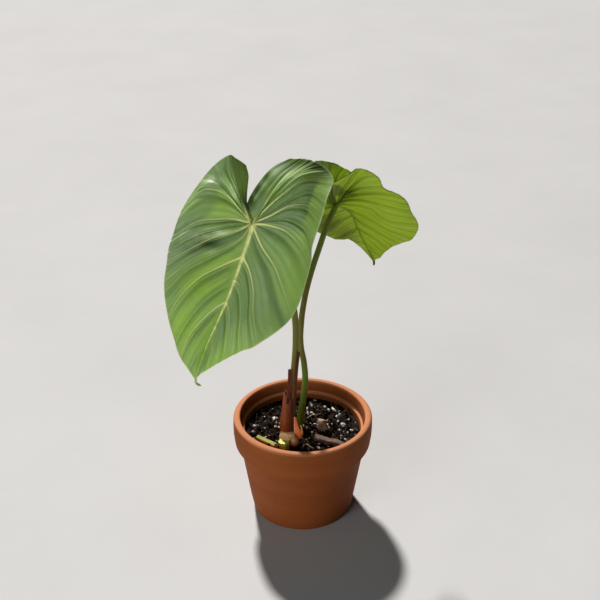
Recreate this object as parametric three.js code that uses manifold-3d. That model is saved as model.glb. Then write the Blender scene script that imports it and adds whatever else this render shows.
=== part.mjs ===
// A young heart-leaved philodendron with two leaves, standing in a terracotta pot.
// Millimetres, +Z up. The pieces are laid out from the pot's axis and the floor,
// with +X to the right and +Y towards the back, and the whole plant is then centred.

import * as THREE from 'three';
import Module from 'manifold-3d';
import { mergeVertices } from 'three/addons/utils/BufferGeometryUtils.js';

const wasm = await Module();
wasm.setup();

// Clearance between pieces that touch
const GAP = 0.3;

// Pot
const POT_HEIGHT = 91.6;
const RIM_RADIUS = 60;
const RIM_INNER_RADIUS = 54.2;
const RIM_BULGE = 0.2;
const RIM_BULGE_DEPTH = 12;
const LIP_ROUND = 1.8;
const LIP_CHAMFER = 1;
const COLLAR_HEIGHT = 25.5;
const COLLAR_FOOT_RADIUS = 59;
const COLLAR_STEP = 1.5;
const COLLAR_ROUND = 1.2;
const BODY_TOP_RADIUS = 54.8;
const BASE_RADIUS = 44;
const BASE_ROUND = 1.2;
const LEDGE_DEPTH = 11;
const LEDGE_RADIUS = 52.2;
const LEDGE_STEP = 1.6;
const LEDGE_DROP = 1.2;
const FLOOR_INNER_RADIUS = 39;
const FLOOR_THICKNESS = 8;
const DRAIN_RADIUS = 6;
const POT_SIDES = 48;

// Soil
const SOIL_LEVEL = 76;
const SOIL_SIDES = 36;
const SOIL_RINGS = 8;
const SOIL_RELIEF = 0.9;
const GRAIN_COUNT = 40;
const GRAIN_SIZES = [1.1, 2.1];
const LUMP_COUNT = 10;
const LUMP_SIZES = [2.2, 3.8];

// Stems: the path of each from its foot to the back of its blade, and its thickness there
const STEM_SIDES = 10;
const STEM_STEPS = 24;
const STEM_A = {
  foot: 3.2,
  middle: 2.75,
  top: 2.4,
  path: [
    [-12, -18.5, 78], [-11, -17.5, 92], [-9.4, -16.5, 106], [-8.2, -16, 118], [-7.2, -15, 144],
    [-5.7, -14, 172], [-6.4, -14, 196], [-10.5, -17.5, 222], [-18, -25, 250], [-27, -34.5, 274],
    [-34, -43, 288], [-37.4, -49, 294.8],
  ],
};
const STEM_B = {
  foot: 3.4,
  middle: 2.8,
  top: 2.3,
  path: [
    [-3.9, 2.9, 66], [-2.8, 4, 77], [-1, 5.3, 91], [1, 6.1, 107], [2.2, 6.2, 122], [1.2, 6, 139],
    [-1.6, 5.9, 158], [-1.4, 6.6, 176], [0.8, 10.5, 195], [5.8, 16, 217], [13.3, 22.5, 240], [20.6, 29, 260],
    [26.9, 34, 273],
  ],
};

// Blades. Each is laid out on a plane that leans back from upright, from the point where
// the stem joins: across, up the plane, and lift out of it. A rib is the course of one vein,
// from the midrib to the margin, and the ribs run from the notch between the lobes to the tip.
const BLADE_LEAN = 30;
const BLADE_THICKNESS = 0.8;
const RIB_STEPS = 4;
const ACROSS_STEPS = 8;
const JOIN_A = [-37.9, -50, 295.8];
const JOIN_B = [27.5, 35, 274.6];

const BLADE_A = {
  join: JOIN_A,
  // direction of the upper face, on the leaning plane
  face: [0, 0, 1],
  puff: 1.5,
  pleat: 0.35,
  midrib: [
    [-4, 15, -3], [0, 0, 0], [-7, -25, 1], [-19, -58, 1], [-33, -89, -1], [-42, -115, -5], [-38, -121.5, -8],
  ],
  // where along the midrib each rib starts, counted in the points above
  starts: [0, 1, 1, 1, 1, 1, 1, 1, 1, 2, 2.5, 3, 3.5, 5, 6],
  strength: [0, 0.8, 1, 0.3, 1, 1, 0.3, 0.9, 0.3, 1, 0.3, 1, 0.3, 0, 0],
  left: [
    [[-4, 21, -5], [-3.5, 29, -7], [-3, 37, -9], [-5, 45, -10]],
    [[-7, 15, -1], [-7, 25, -1], [-9, 37, -2], [-12, 49, -3]],
    [[-9, 17, 1], [-11, 30, 5], [-15, 40, 6], [-18, 50, 4]],
    [[-11, 15, 2], [-19, 26, 5], [-26, 33, 4], [-33, 39, -2]],
    [[-15, 17, 2], [-26, 24, 5], [-38, 24, 2], [-52, 13, -8]],
    [[-13, 3, 1], [-26, 3, 3], [-41, 1, 2], [-60, -9, -7]],
    [[-13, -1, 1], [-28, -4, 3], [-45, -9, 1.5], [-63, -19, -7]],
    [[-12, -6, 1], [-29, -11, 3], [-46, -19, 1], [-64, -28, -6]],
    [[-11, -15, 2], [-26, -24, 4], [-46, -34, 3], [-66, -47, -6]],
    [[-21, -31, 3], [-38, -40, 4], [-53, -54, 2], [-63, -69, -5]],
    [[-22, -46, 3], [-36, -56, 4], [-49, -72, 1], [-58, -87, -5]],
    [[-27, -63, 3], [-37, -72, 3], [-47, -84, 0], [-54, -99, -5]],
    [[-33, -82, 2], [-39, -90, 2], [-44, -99, -1], [-48, -108, -5]],
    [[-42.3, -115, -5], [-42.5, -115.1, -5], [-42.7, -115.2, -5], [-43, -115.4, -5.2]],
  ],
  right: [
    [[-1, 22, -4], [6, 33, -6], [15, 43, -8], [28, 50, -10]],
    [[5, 10, 1], [13, 22, 3], [25, 35, 1], [42, 49, -8]],
    [[7, 10, 2], [19, 23, 6], [34, 36, 5], [54, 44, -12]],
    [[10, 10, 3], [24, 22, 7], [39, 32, 6], [61, 35, -18]],
    [[12, 8, 3], [25, 15, 7], [42, 24, 3], [56, 20, -20]],
    [[13, 5, 3], [27, 12, 6], [41, 13, 2], [52, 5, -18]],
    [[14, 2, 3], [28, 3, 5], [40, -3, 1], [45, -16, -16]],
    [[13, -2, 3], [26, -7, 5], [37, -19, 1], [43, -33, -13]],
    [[9, -16, 3], [19, -33, 5], [26, -52, 3], [30, -69, -7]],
    [[-1, -35, 3], [2, -50, 5], [2, -69, 4], [4, -90, -3]],
    [[-8, -50, 3], [-7, -66, 4], [-8, -81, 2], [-8, -95, -3]],
    [[-17, -66, 2], [-17, -78, 3], [-18, -89, 1], [-20, -101, -3]],
    [[-27, -84, 1], [-28, -92, 1], [-30, -100, 0], [-32, -108, -3]],
    [[-41.7, -115, -5], [-41.5, -114.9, -5], [-41.3, -114.8, -5], [-41, -114.6, -5.2]],
  ],
};

const BLADE_B = {
  join: JOIN_B,
  face: [0.13, 0.86, -0.5],
  puff: 1.8,
  pleat: 0.4,
  midrib: [
    [-3, 8, 10], [0, 0, 0], [8, -3, -9], [14, -7, -20], [19, -16, -37], [26, -27, -54], [34.4, -42, -70],
    [35, -46.5, -73.5],
  ],
  starts: [0, 1, 1, 1, 1, 1, 1, 2, 3, 4, 5, 6, 7],
  strength: [0, 1, 0.6, 1, 0.7, 0.9, 1, 1, 1, 0.8, 0.4, 0, 0],
  left: [
    [[-1, 14, 6], [4, 19, 4], [8, 23, 4], [12, 25, 5]],
    [[-3, 6, 7], [-2, 15, 9], [1, 23, 9], [5, 28, 8]],
    [[-5, 5, 6], [-6, 15, 10], [-6, 24, 13], [-6, 32, 12]],
    [[-6, 4, 3], [-12, 13, 8], [-18, 23, 12], [-21, 32, 12]],
    [[-8, 3, 0], [-17, 9, 3], [-26, 17, 5], [-31, 25, 3]],
    [[-8, 1, -4], [-18, 4, -6], [-28, 7, -9], [-37, 12, -13]],
    [[-7, -3, -9], [-16, -3, -17], [-26, -3, -25], [-35, -1, -31]],
    [[0, -6, -19], [-9, -9, -29], [-18, -12, -40], [-26, -13, -48]],
    [[6, -11, -30], [-1, -16, -42], [-7, -19, -53], [-12, -19, -58]],
    [[15, -20, -43], [11, -22, -51], [7, -24, -57], [1, -24, -61]],
    [[23, -28, -56], [21, -28, -58], [19, -27, -60], [15, -25, -61]],
    [[34, -42, -70], [33.8, -42, -70], [33.5, -42, -69.8], [33.1, -41.8, -69.5]],
  ],
  right: [
    [[-4, 14, 18], [0, 16, 23], [5, 18, 30], [11, 21, 37]],
    [[3, 6, 8], [8, 12, 20], [13, 18, 32], [17, 23, 41]],
    [[7, 7, 9], [14, 12, 21], [22, 16, 33], [31, 17, 38]],
    [[7, 6, 8], [17, 9, 17], [27, 9, 24], [37, 9, 29]],
    [[8, 4, 5], [21, 5, 14], [36, 4, 21], [53, 2, 22]],
    [[11, 2, 3], [25, 0, 8], [41, -5, 8], [61, -8, 5]],
    [[11, -1, -3], [26, -4, -5], [43, -14, -10], [68, -18, -11]],
    [[17, -6, -16], [28, -12, -19], [44, -20, -26], [64, -27, -28]],
    [[21, -13, -27], [33, -20, -33], [43, -25, -38], [54, -30, -41]],
    [[26, -21, -42], [33, -25, -47], [40, -30, -51], [46, -34, -53]],
    [[30, -31, -57], [33, -35, -59], [36, -38, -61], [40, -40, -62]],
    [[34.8, -42, -70], [35, -42, -70], [35.4, -42.2, -69.8], [35.8, -42.2, -69.5]],
  ],
};

// Ridges of the midrib and the veins on the underside of a blade
const MIDRIB_RIDGE = 2.2;
const VEIN_RIDGE = 1.1;

// Foot of the plant: the swollen stem base as radii and heights, with rings of old leaf
// scars, and the bud at its right
const RHIZOME_CENTRE = [-12, -19.5];
const RHIZOME_FOOT = [[0, 55], [3, 56]];
const RHIZOME_SIDE = [[5.8, 63], [7, 70], [7.2, 75], [7.9, 79], [7.8, 83], [6.9, 86.5]];
const RHIZOME_TOP = [[5.4, 88.8], [0, 89.4]];
const RHIZOME_SIDES = 16;
const BUD = { centre: [-7.2, -24.5, 79.5], radii: [4.2, 4.4, 6.2], tilt: 28 };

// The sheath round the foot of the front stem: an oval, open towards the right, that
// narrows and shifts as it rises. Its front edge draws back to the left towards the top,
// and its upper edge is highest at the left
const SHEATH = {
  wall: 0.9,
  opening: { back: 38, frontFoot: 38, frontTop: 72 },
  foot: { height: 90, centre: [-12.9, -17.2], radii: [6.6, 6.1] },
  top: { heights: [116, 127], centre: [-10.8, -16.2], radii: [5.1, 4.8] },
};
const STRIP_LEAN = [1, 0.25, 0];
const STRIP_WALL = 1;
const FLAP = {
  path: [[-6.6, -21.2, 103], [-6.1, -21.8, 97], [-4.9, -22, 90], [-3.5, -21.4, 84.5], [-2.6, -20.6, 80]],
  ends: 1.6,
  swell: 3.2,
};
const DRY_STRIPS = [
  {
    path: [[-12.2, -20.9, 116], [-11.4, -20.4, 126], [-11, -20, 138], [-10.9, -19.8, 149]],
    widths: [3.4, 2.8],
  },
  {
    path: [[-7.4, -21.3, 102], [-6.7, -20.2, 124], [-5.4, -19, 147], [-3.6, -18, 165]],
    widths: [2.8, 2.6],
  },
];
const STUB = { from: [-14.4, -30, 66], to: [-16, -28.4, 83.5], radii: [3.2, 4.8] };
const CUT_STALK = { from: [-38.8, -17.2, 78.6], to: [-23, -29.3, 78.6], radii: [2.6, 2.6] };
const CHIP = { centre: [17, -1.5, 80.5], size: [8, 5, 13], turn: 20, tilt: -20 };
const LONG_CHIP = { centre: [22.4, -21, 78], size: [25, 7, 4.2], turn: -16, tilt: 5 };
const FIBRE = {
  radius: 0.6,
  path: [[4, 12.5, 78.4], [8, 16, 79.4], [12, 17.5, 79], [16, 20.5, 78.2]],
};
const CURL = {
  radius: 0.6,
  path: [[-0.5, -31.5, 77.6], [1, -28.5, 79.2], [4, -28, 79.4], [6.5, -30.5, 78.8], [9.5, -31.5, 77.8]],
};

// A repeatable source of numbers from 0 to 1
function seeded(seed) {
  let state = seed;
  return () => {
    state = (state * 16807) % 2147483647;
    return state / 2147483647;
  };
}

const toVector = ([x, y, z]) => new THREE.Vector3(x, y, z);

// A smooth curve through points
const curveThrough = (points) => new THREE.CatmullRomCurve3(points, false, 'catmullrom', 0.5);

// A geometry with its shared vertices merged
function mergedOf(geometry) {
  const bare = geometry.clone();
  bare.deleteAttribute('normal');
  bare.deleteAttribute('uv');
  return mergeVertices(bare, 1e-3);
}

function toManifold(geometry) {
  const merged = mergedOf(geometry);
  return new wasm.Manifold(new wasm.Mesh({
    numProp: 3,
    vertProperties: new Float32Array(merged.attributes.position.array),
    triVerts: new Uint32Array(merged.index.array),
  }));
}

// The largest body of a cut solid, as a geometry; loose scraps are dropped
function fromManifold(solid) {
  const bodies = solid.decompose();
  bodies.sort((a, b) => b.volume() - a.volume());
  const mesh = bodies[0].getMesh();
  const geometry = new THREE.BufferGeometry();
  geometry.setAttribute('position', new THREE.BufferAttribute(new Float32Array(mesh.vertProperties), 3));
  geometry.setIndex(new THREE.BufferAttribute(new Uint32Array(mesh.triVerts), 1));
  geometry.computeVertexNormals();
  return geometry;
}

// A closed solid turned round the Z axis from a profile of [radius, height] points
function turned(profile, sides) {
  const points = profile.map(([radius, height]) => new THREE.Vector2(radius, height));
  const geometry = new THREE.LatheGeometry(points, sides);
  geometry.rotateX(Math.PI / 2);
  return geometry;
}

// A round stem along a path, closed at both ends, its radius given for 0 to 1 along it
function taperedTube(path, radiusAt, sides, steps) {
  const curve = new THREE.CatmullRomCurve3(path.map(toVector));
  const frames = curve.computeFrenetFrames(steps, false);
  const places = [];
  const faces = [];
  for (let i = 0; i <= steps; i += 1) {
    const centre = curve.getPointAt(i / steps);
    const radius = radiusAt(i / steps);
    for (let j = 0; j < sides; j += 1) {
      const angle = (2 * Math.PI * j) / sides;
      const out = frames.normals[i].clone().multiplyScalar(Math.cos(angle));
      out.addScaledVector(frames.binormals[i], Math.sin(angle));
      places.push(centre.clone().addScaledVector(out, radius));
    }
  }
  for (let i = 0; i < steps; i += 1) {
    for (let j = 0; j < sides; j += 1) {
      const a = i * sides + j;
      const b = i * sides + ((j + 1) % sides);
      faces.push(a, b, a + sides, b, b + sides, a + sides);
    }
  }
  for (const [ring, flip] of [[0, true], [steps, false]]) {
    const hub = places.length;
    places.push(curve.getPointAt(ring / steps));
    for (let j = 0; j < sides; j += 1) {
      const a = ring * sides + j;
      const b = ring * sides + ((j + 1) % sides);
      faces.push(...(flip ? [hub, b, a] : [hub, a, b]));
    }
  }
  return geometryOf(places, faces);
}

function geometryOf(places, faces) {
  const geometry = new THREE.BufferGeometry();
  geometry.setFromPoints(places);
  geometry.setIndex(faces);
  geometry.computeVertexNormals();
  return geometry;
}

// A thin closed solid from a sheet: the back lies behind the front by its depth at each
// point, is split into triangles as the front is, and the open edges are joined by a rim
function thickened(places, faces, depths) {
  const keys = new Map();
  const kept = [];
  const depth = [];
  const number = places.map((place, i) => {
    const key = place.toArray().map((v) => Math.round(v * 1000)).join(' ');
    if (!keys.has(key)) {
      keys.set(key, kept.length);
      kept.push(place.clone());
      depth.push(depths[i]);
    }
    depth[keys.get(key)] = Math.max(depth[keys.get(key)], depths[i]);
    return keys.get(key);
  });
  const front = [];
  for (let i = 0; i < faces.length; i += 3) {
    const [a, b, c] = faces.slice(i, i + 3).map((v) => number[v]);
    if (a !== b && b !== c && c !== a) {
      front.push([a, b, c]);
    }
  }
  const outward = kept.map(() => new THREE.Vector3());
  const edges = new Map();
  for (const [a, b, c] of front) {
    const normal = new THREE.Triangle(kept[a], kept[b], kept[c]).getNormal(new THREE.Vector3());
    for (const [from, to, other] of [[a, b, c], [b, c, a], [c, a, b]]) {
      const along = kept[to].clone().sub(kept[from]);
      const across = kept[other].clone().sub(kept[from]);
      outward[from].addScaledVector(normal, along.angleTo(across));
      edges.set(`${from} ${to}`, [from, to]);
    }
  }
  const count = kept.length;
  const back = kept.map((place, i) => place.clone().addScaledVector(outward[i].normalize(), -depth[i]));
  const closed = [];
  for (const [a, b, c] of front) {
    closed.push(a, b, c, a + count, c + count, b + count);
  }
  for (const [from, to] of edges.values()) {
    if (!edges.has(`${to} ${from}`)) {
      closed.push(to, from, from + count, to, from + count, to + count);
    }
  }
  return geometryOf([...kept, ...back], closed);
}

// The leaning plane that a blade is laid out on
function bladeFrame(blade) {
  const lean = THREE.MathUtils.degToRad(BLADE_LEAN);
  return new THREE.Matrix4().makeBasis(
    new THREE.Vector3(1, 0, 0),
    new THREE.Vector3(0, Math.sin(lean), Math.cos(lean)),
    new THREE.Vector3(0, -Math.cos(lean), Math.sin(lean)),
  ).setPosition(...blade.join);
}

// One half of a blade as a function of the rib number and the way along that rib
function bladeHalf(blade, ribs) {
  const midrib = curveThrough(blade.midrib.map(toVector));
  const spans = blade.midrib.length - 1;
  const tip = blade.midrib[spans];
  const rows = [...ribs, [tip, tip, tip, tip]];
  const courses = rows[0].map((_, k) => curveThrough(rows.map((row) => toVector(row[k]))));
  const face = toVector(blade.face).normalize();
  return (rib, along) => {
    const i = Math.min(Math.floor(rib), blade.starts.length - 2);
    const start = THREE.MathUtils.lerp(blade.starts[i], blade.starts[i + 1], rib - i);
    const course = curveThrough([
      midrib.getPoint(start / spans),
      ...courses.map((curve) => curve.getPoint(rib / (rows.length - 1))),
    ]);
    const place = course.getPoint(along);
    const fade = Math.sin(Math.PI * Math.min(along * 0.85 + 0.05, 1)) * Math.min(1, along * 4);
    const nearTip = Math.min(1, (rows.length - 1 - rib) / 2);
    const puff = blade.puff * Math.sin(Math.PI * (rib - Math.floor(rib))) ** 2;
    const pleat = blade.pleat * Math.sin(6 * Math.PI * rib);
    return place.addScaledVector(face, (puff + pleat) * fade * nearTip);
  };
}

function bladeGeometry(blade, upperFacesViewer, grow = 0) {
  const places = [];
  const faces = [];
  const depths = [];
  const columns = (blade.starts.length - 1) * RIB_STEPS;
  for (const [ribs, turn] of [[blade.left, upperFacesViewer], [blade.right, !upperFacesViewer]]) {
    const half = bladeHalf(blade, ribs);
    const first = places.length;
    for (let i = 0; i <= columns; i += 1) {
      const rib = i / RIB_STEPS;
      const onVein = i % RIB_STEPS === 0 ? blade.strength[rib] : 0;
      for (let j = 0; j <= ACROSS_STEPS; j += 1) {
        const along = (j / ACROSS_STEPS) ** 1.25;
        places.push(half(rib, along));
        const midrib = j === 0 ? MIDRIB_RIDGE * (1 - rib / (blade.starts.length - 1)) : 0;
        depths.push(BLADE_THICKNESS + grow + Math.max(midrib, VEIN_RIDGE * onVein * (1 - along)));
      }
    }
    for (let i = 0; i < columns; i += 1) {
      for (let j = 0; j < ACROSS_STEPS; j += 1) {
        const a = first + i * (ACROSS_STEPS + 1) + j;
        const b = a + ACROSS_STEPS + 1;
        faces.push(...(turn ? [a, b, a + 1, b, b + 1, a + 1] : [a, a + 1, b, b, a + 1, b + 1]));
      }
    }
  }
  const geometry = thickened(places, faces, depths);
  geometry.applyMatrix4(bladeFrame(blade));
  return geometry;
}

function potGeometry() {
  const collarFoot = POT_HEIGHT - COLLAR_HEIGHT;
  const ledge = POT_HEIGHT - LEDGE_DEPTH;
  const innerTop = LEDGE_RADIUS - LEDGE_STEP;
  return turned([
    [DRAIN_RADIUS, 0],
    [BASE_RADIUS - BASE_ROUND, 0],
    [BASE_RADIUS, BASE_ROUND],
    [BODY_TOP_RADIUS, collarFoot - COLLAR_STEP],
    [COLLAR_FOOT_RADIUS - COLLAR_ROUND, collarFoot],
    [COLLAR_FOOT_RADIUS, collarFoot + COLLAR_ROUND],
    [RIM_RADIUS + RIM_BULGE, POT_HEIGHT - RIM_BULGE_DEPTH],
    [RIM_RADIUS, POT_HEIGHT - LIP_ROUND],
    [RIM_RADIUS - LIP_ROUND * 0.4, POT_HEIGHT - LIP_ROUND * 0.3],
    [RIM_RADIUS - LIP_ROUND, POT_HEIGHT],
    [RIM_INNER_RADIUS + LIP_CHAMFER, POT_HEIGHT],
    [RIM_INNER_RADIUS, POT_HEIGHT - LIP_CHAMFER],
    [LEDGE_RADIUS, ledge],
    [innerTop, ledge - LEDGE_DROP],
    [FLOOR_INNER_RADIUS, FLOOR_THICKNESS],
    [DRAIN_RADIUS, FLOOR_THICKNESS],
    [DRAIN_RADIUS, 0],
  ], POT_SIDES);
}

// Radius of the pot's inner wall below its ledge
function innerRadius(height) {
  const top = POT_HEIGHT - LEDGE_DEPTH - LEDGE_DROP;
  const part = (height - FLOOR_THICKNESS) / (top - FLOOR_THICKNESS);
  return THREE.MathUtils.lerp(FLOOR_INNER_RADIUS, LEDGE_RADIUS - LEDGE_STEP, part);
}

function stemRadius(stem, grow) {
  return (part) => {
    const lower = THREE.MathUtils.lerp(stem.foot, stem.middle, Math.min(1, part * 4));
    const upper = THREE.MathUtils.lerp(stem.middle, stem.top, Math.max(0, part * 1.25 - 0.25));
    return Math.min(lower, upper + Math.max(0, 1 - part * 4)) + grow;
  };
}

function stemGeometry(stem, grow = 0) {
  return taperedTube(stem.path, stemRadius(stem, grow), STEM_SIDES, STEM_STEPS);
}

function rhizomeSolid(grow = 0) {
  const wider = ([radius, height]) => [radius + grow, height];
  const body = turned([
    ...RHIZOME_FOOT.map(([radius, height]) => [radius && radius + grow, height - grow]),
    ...RHIZOME_SIDE.map(wider),
    ...RHIZOME_TOP.map(([radius, height]) => [radius && radius + grow, height + grow]),
  ], RHIZOME_SIDES);
  body.translate(...RHIZOME_CENTRE, 0);
  const bud = new THREE.SphereGeometry(1, 10, 8);
  bud.scale(...BUD.radii.map((radius) => radius + grow));
  bud.rotateX(THREE.MathUtils.degToRad(BUD.tilt));
  bud.translate(...BUD.centre);
  return toManifold(body).add(toManifold(bud));
}

// A strip standing along a path, its width given for 0 to 1 along it, a little hollow across
function stripGeometry(path, widthAt, wall) {
  const curve = curveThrough(path.map(toVector));
  const sideways = toVector(STRIP_LEAN).normalize();
  const places = [];
  const faces = [];
  const rows = 8;
  const columns = 4;
  for (let i = 0; i <= rows; i += 1) {
    const centre = curve.getPoint(i / rows);
    const width = widthAt(i / rows);
    for (let j = 0; j <= columns; j += 1) {
      const side = (j / columns) * 2 - 1;
      const place = centre.clone().addScaledVector(sideways, (side * width) / 2);
      place.y += 0.1 * width * side * side;
      places.push(place);
    }
  }
  for (let i = 0; i < rows; i += 1) {
    for (let j = 0; j < columns; j += 1) {
      const a = i * (columns + 1) + j;
      const b = a + columns + 1;
      faces.push(a, a + 1, b, a + 1, b + 1, b);
    }
  }
  return thickened(places, faces, places.map(() => wall));
}

// The thin flap that hangs at the right of the sheath's foot
function flapSolid(grow = 0) {
  const path = FLAP.path.map(([x, y, z]) => [x, y + grow, z]);
  path[path.length - 1][2] -= grow;
  const width = (part) => FLAP.ends + FLAP.swell * Math.sin(Math.PI * Math.min(1, part * 0.9)) + 2 * grow;
  return toManifold(stripGeometry(path, width, STRIP_WALL + 2 * grow));
}

// The brown sheath with the flap at its foot and the dried strips of its torn upper end
function sheathSolid() {
  const { foot, top } = SHEATH;
  const mix = THREE.MathUtils.lerp;
  const places = [];
  const faces = [];
  const rows = 8;
  const columns = 18;
  const { back, frontFoot, frontTop } = SHEATH.opening;
  for (let i = 0; i <= columns; i += 1) {
    for (let j = 0; j <= rows; j += 1) {
      const up = j / rows;
      const angle = THREE.MathUtils.degToRad(mix(back, 360 - mix(frontFoot, frontTop, up), i / columns));
      const highest = mix(...top.heights, (1 - Math.cos(angle)) / 2);
      const [wide, deep] = foot.radii.map((radius, k) => mix(radius, top.radii[k], up));
      places.push(new THREE.Vector3(
        mix(foot.centre[0], top.centre[0], up ** 1.5) + wide * Math.cos(angle),
        mix(foot.centre[1], top.centre[1], up) + deep * Math.sin(angle),
        mix(foot.height, highest, up),
      ));
    }
  }
  for (let i = 0; i < columns; i += 1) {
    for (let j = 0; j < rows; j += 1) {
      const a = i * (rows + 1) + j;
      const b = a + rows + 1;
      faces.push(a, b, a + 1, b, b + 1, a + 1);
    }
  }
  let sheath = toManifold(thickened(places, faces, places.map(() => SHEATH.wall))).add(flapSolid());
  for (const { path, widths } of DRY_STRIPS) {
    const strip = stripGeometry(path, (part) => mix(...widths, part), STRIP_WALL);
    sheath = sheath.add(toManifold(strip));
  }
  return sheath;
}

// A short round piece of stalk, cut off at both ends
function stalkGeometry({ from, to, radii }, grow = 0) {
  const [start, end] = [toVector(from), toVector(to)];
  const longer = end.clone().sub(start).setLength(grow);
  const radiusAt = (part) => THREE.MathUtils.lerp(...radii, part) + grow;
  return taperedTube([start.sub(longer).toArray(), end.add(longer).toArray()], radiusAt, 10, 4);
}

// A split chip of bark: a rough wedge with its long edges broken off
function chipGeometry(chip, seed, grow = 0) {
  const [length, width, height] = chip.size;
  const geometry = new THREE.BoxGeometry(length, width, height, 4, 2, 2);
  const random = seeded(seed);
  const merged = mergedOf(geometry);
  const place = new THREE.Vector3();
  for (let i = 0; i < merged.attributes.position.count; i += 1) {
    place.fromBufferAttribute(merged.attributes.position, i);
    const narrow = 1 - 0.35 * Math.abs(place.x / (length / 2)) ** 2;
    place.y *= narrow * (0.85 + 0.3 * random());
    place.z *= narrow * (0.8 + 0.3 * random());
    place.x *= 0.92 + 0.12 * random();
    place.setLength(place.length() + grow * 1.6);
    merged.attributes.position.setXYZ(i, place.x, place.y, place.z);
  }
  merged.rotateY(THREE.MathUtils.degToRad(chip.tilt));
  merged.rotateZ(THREE.MathUtils.degToRad(chip.turn));
  merged.translate(...chip.centre);
  merged.computeVertexNormals();
  return merged;
}

function soilRelief(x, y) {
  const waves = Math.sin(x * 0.31 + 1.2) * Math.cos(y * 0.27 - 0.4) + 0.6 * Math.sin(x * 0.73 - y * 0.61);
  return SOIL_RELIEF * waves;
}

// The potting mix: a filled cone with a rough top, grains of perlite and lumps sunk into it
function soilBody() {
  const bottom = FLOOR_THICKNESS + GAP;
  const profile = [[0, bottom], [innerRadius(bottom) - GAP, bottom]];
  for (let i = SOIL_RINGS; i >= 0; i -= 1) {
    profile.push([(innerRadius(SOIL_LEVEL) - GAP) * (i / SOIL_RINGS), SOIL_LEVEL]);
  }
  const geometry = turned(profile, SOIL_SIDES);
  const position = geometry.attributes.position;
  for (let i = 0; i < position.count; i += 1) {
    const [x, y, z] = [position.getX(i), position.getY(i), position.getZ(i)];
    const edge = Math.min(1, (innerRadius(SOIL_LEVEL) - GAP - Math.hypot(x, y)) / 4);
    if (z > SOIL_LEVEL - 1) {
      position.setZ(i, z + soilRelief(x, y) * Math.max(0, edge));
    }
  }
  return toManifold(geometry);
}

function addGrains(soil, count, sizes, flatness, seed) {
  const random = seeded(seed);
  let whole = soil;
  for (let i = 0; i < count; i += 1) {
    const size = THREE.MathUtils.lerp(sizes[0], sizes[1], random());
    const distance = (innerRadius(SOIL_LEVEL) - sizes[1] - 2) * Math.sqrt(random());
    const angle = 2 * Math.PI * random();
    const grain = new THREE.IcosahedronGeometry(size, 0);
    grain.rotateX(6 * random());
    grain.rotateY(6 * random());
    grain.scale(1, 0.8 + 0.3 * random(), flatness);
    const x = distance * Math.cos(angle);
    const y = distance * Math.sin(angle);
    grain.translate(x, y, SOIL_LEVEL + soilRelief(x, y) + size * 0.1);
    whole = whole.add(toManifold(grain));
  }
  return whole;
}

// A piece that rests on the soil lies in a shallow print of itself
function soilSolid() {
  let soil = addGrains(soilBody(), LUMP_COUNT, LUMP_SIZES, 0.55, 11);
  soil = addGrains(soil, GRAIN_COUNT, GRAIN_SIZES, 0.9, 29);
  const prints = [
    rhizomeSolid(GAP),
    toManifold(stemGeometry(STEM_B, GAP)),
    toManifold(stalkGeometry(STUB, GAP)),
    toManifold(stalkGeometry(CUT_STALK, GAP)),
    toManifold(chipGeometry(CHIP, 5, GAP)),
    toManifold(chipGeometry(LONG_CHIP, 8, GAP)),
    toManifold(fibreGeometry(FIBRE, GAP)),
    toManifold(fibreGeometry(CURL, GAP)),
  ];
  for (const print of prints) {
    soil = soil.subtract(print);
  }
  return soil;
}

const fibreGeometry = (fibre, grow = 0) => taperedTube(fibre.path, () => fibre.radius + grow, 6, 12);

const group = new THREE.Group();

function add(name, geometry, colour, roughness) {
  const material = new THREE.MeshStandardMaterial({ color: colour, roughness, metalness: 0 });
  const mesh = new THREE.Mesh(geometry, material);
  mesh.name = name;
  group.add(mesh);
}

// Each stem reaches up to the back of its blade
function stemUpTo(stem, blade, upperFacesViewer) {
  return toManifold(stemGeometry(stem)).subtract(toManifold(bladeGeometry(blade, upperFacesViewer, GAP)));
}

const stemA = toManifold(stemGeometry(STEM_A, GAP));
const stub = toManifold(stalkGeometry(STUB, GAP));
const sheath = sheathSolid().subtract(stemA);
const rhizome = rhizomeSolid().subtract(stemA).subtract(stub).subtract(flapSolid(GAP));

add('pot', potGeometry(), 0xa8623c, 0.85);
add('soil', fromManifold(soilSolid()), 0x2b2019, 0.95);
add('rhizome', fromManifold(rhizome), 0xb08050, 0.7);
add('sheath', fromManifold(sheath), 0x6b2f1c, 0.7);
add('petiole_a', fromManifold(stemUpTo(STEM_A, BLADE_A, true)), 0x5c6b25, 0.5);
add('petiole_b', fromManifold(stemUpTo(STEM_B, BLADE_B, false)), 0x4c6b24, 0.5);
add('leaf_a', bladeGeometry(BLADE_A, true), 0x557a48, 0.45);
add('leaf_b', bladeGeometry(BLADE_B, false), 0x7b9a2c, 0.45);
add('stalk_stub', stalkGeometry(STUB), 0x8fae3c, 0.6);
add('cut_stalk', stalkGeometry(CUT_STALK), 0xb3ab35, 0.6);
add('bark_chip', chipGeometry(CHIP, 5), 0x8a6f5c, 0.9);
add('bark_chip_long', chipGeometry(LONG_CHIP, 8), 0x6e5444, 0.9);
add('root_fibre', fibreGeometry(FIBRE), 0xa9907a, 0.8);
add('root_curl', fibreGeometry(CURL), 0xb59f72, 0.8);

// The origin is the middle of the plant's outline on the floor
const box = new THREE.Box3().setFromObject(group, true);
const middle = box.getCenter(new THREE.Vector3());
group.position.set(-middle.x, -middle.y, -box.min.z);
group.updateMatrixWorld(true);

export default group;
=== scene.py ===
# The looks of a young philodendron with two leaves, standing in a terracotta pot.
# Places are given in mm from the pot's axis and the floor, +X right and +Y back.

import random
from math import ceil, cos, floor, hypot, pi, radians, sin, sqrt

import bpy
import numpy as np
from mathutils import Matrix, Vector, noise
from numpy.linalg import norm


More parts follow.
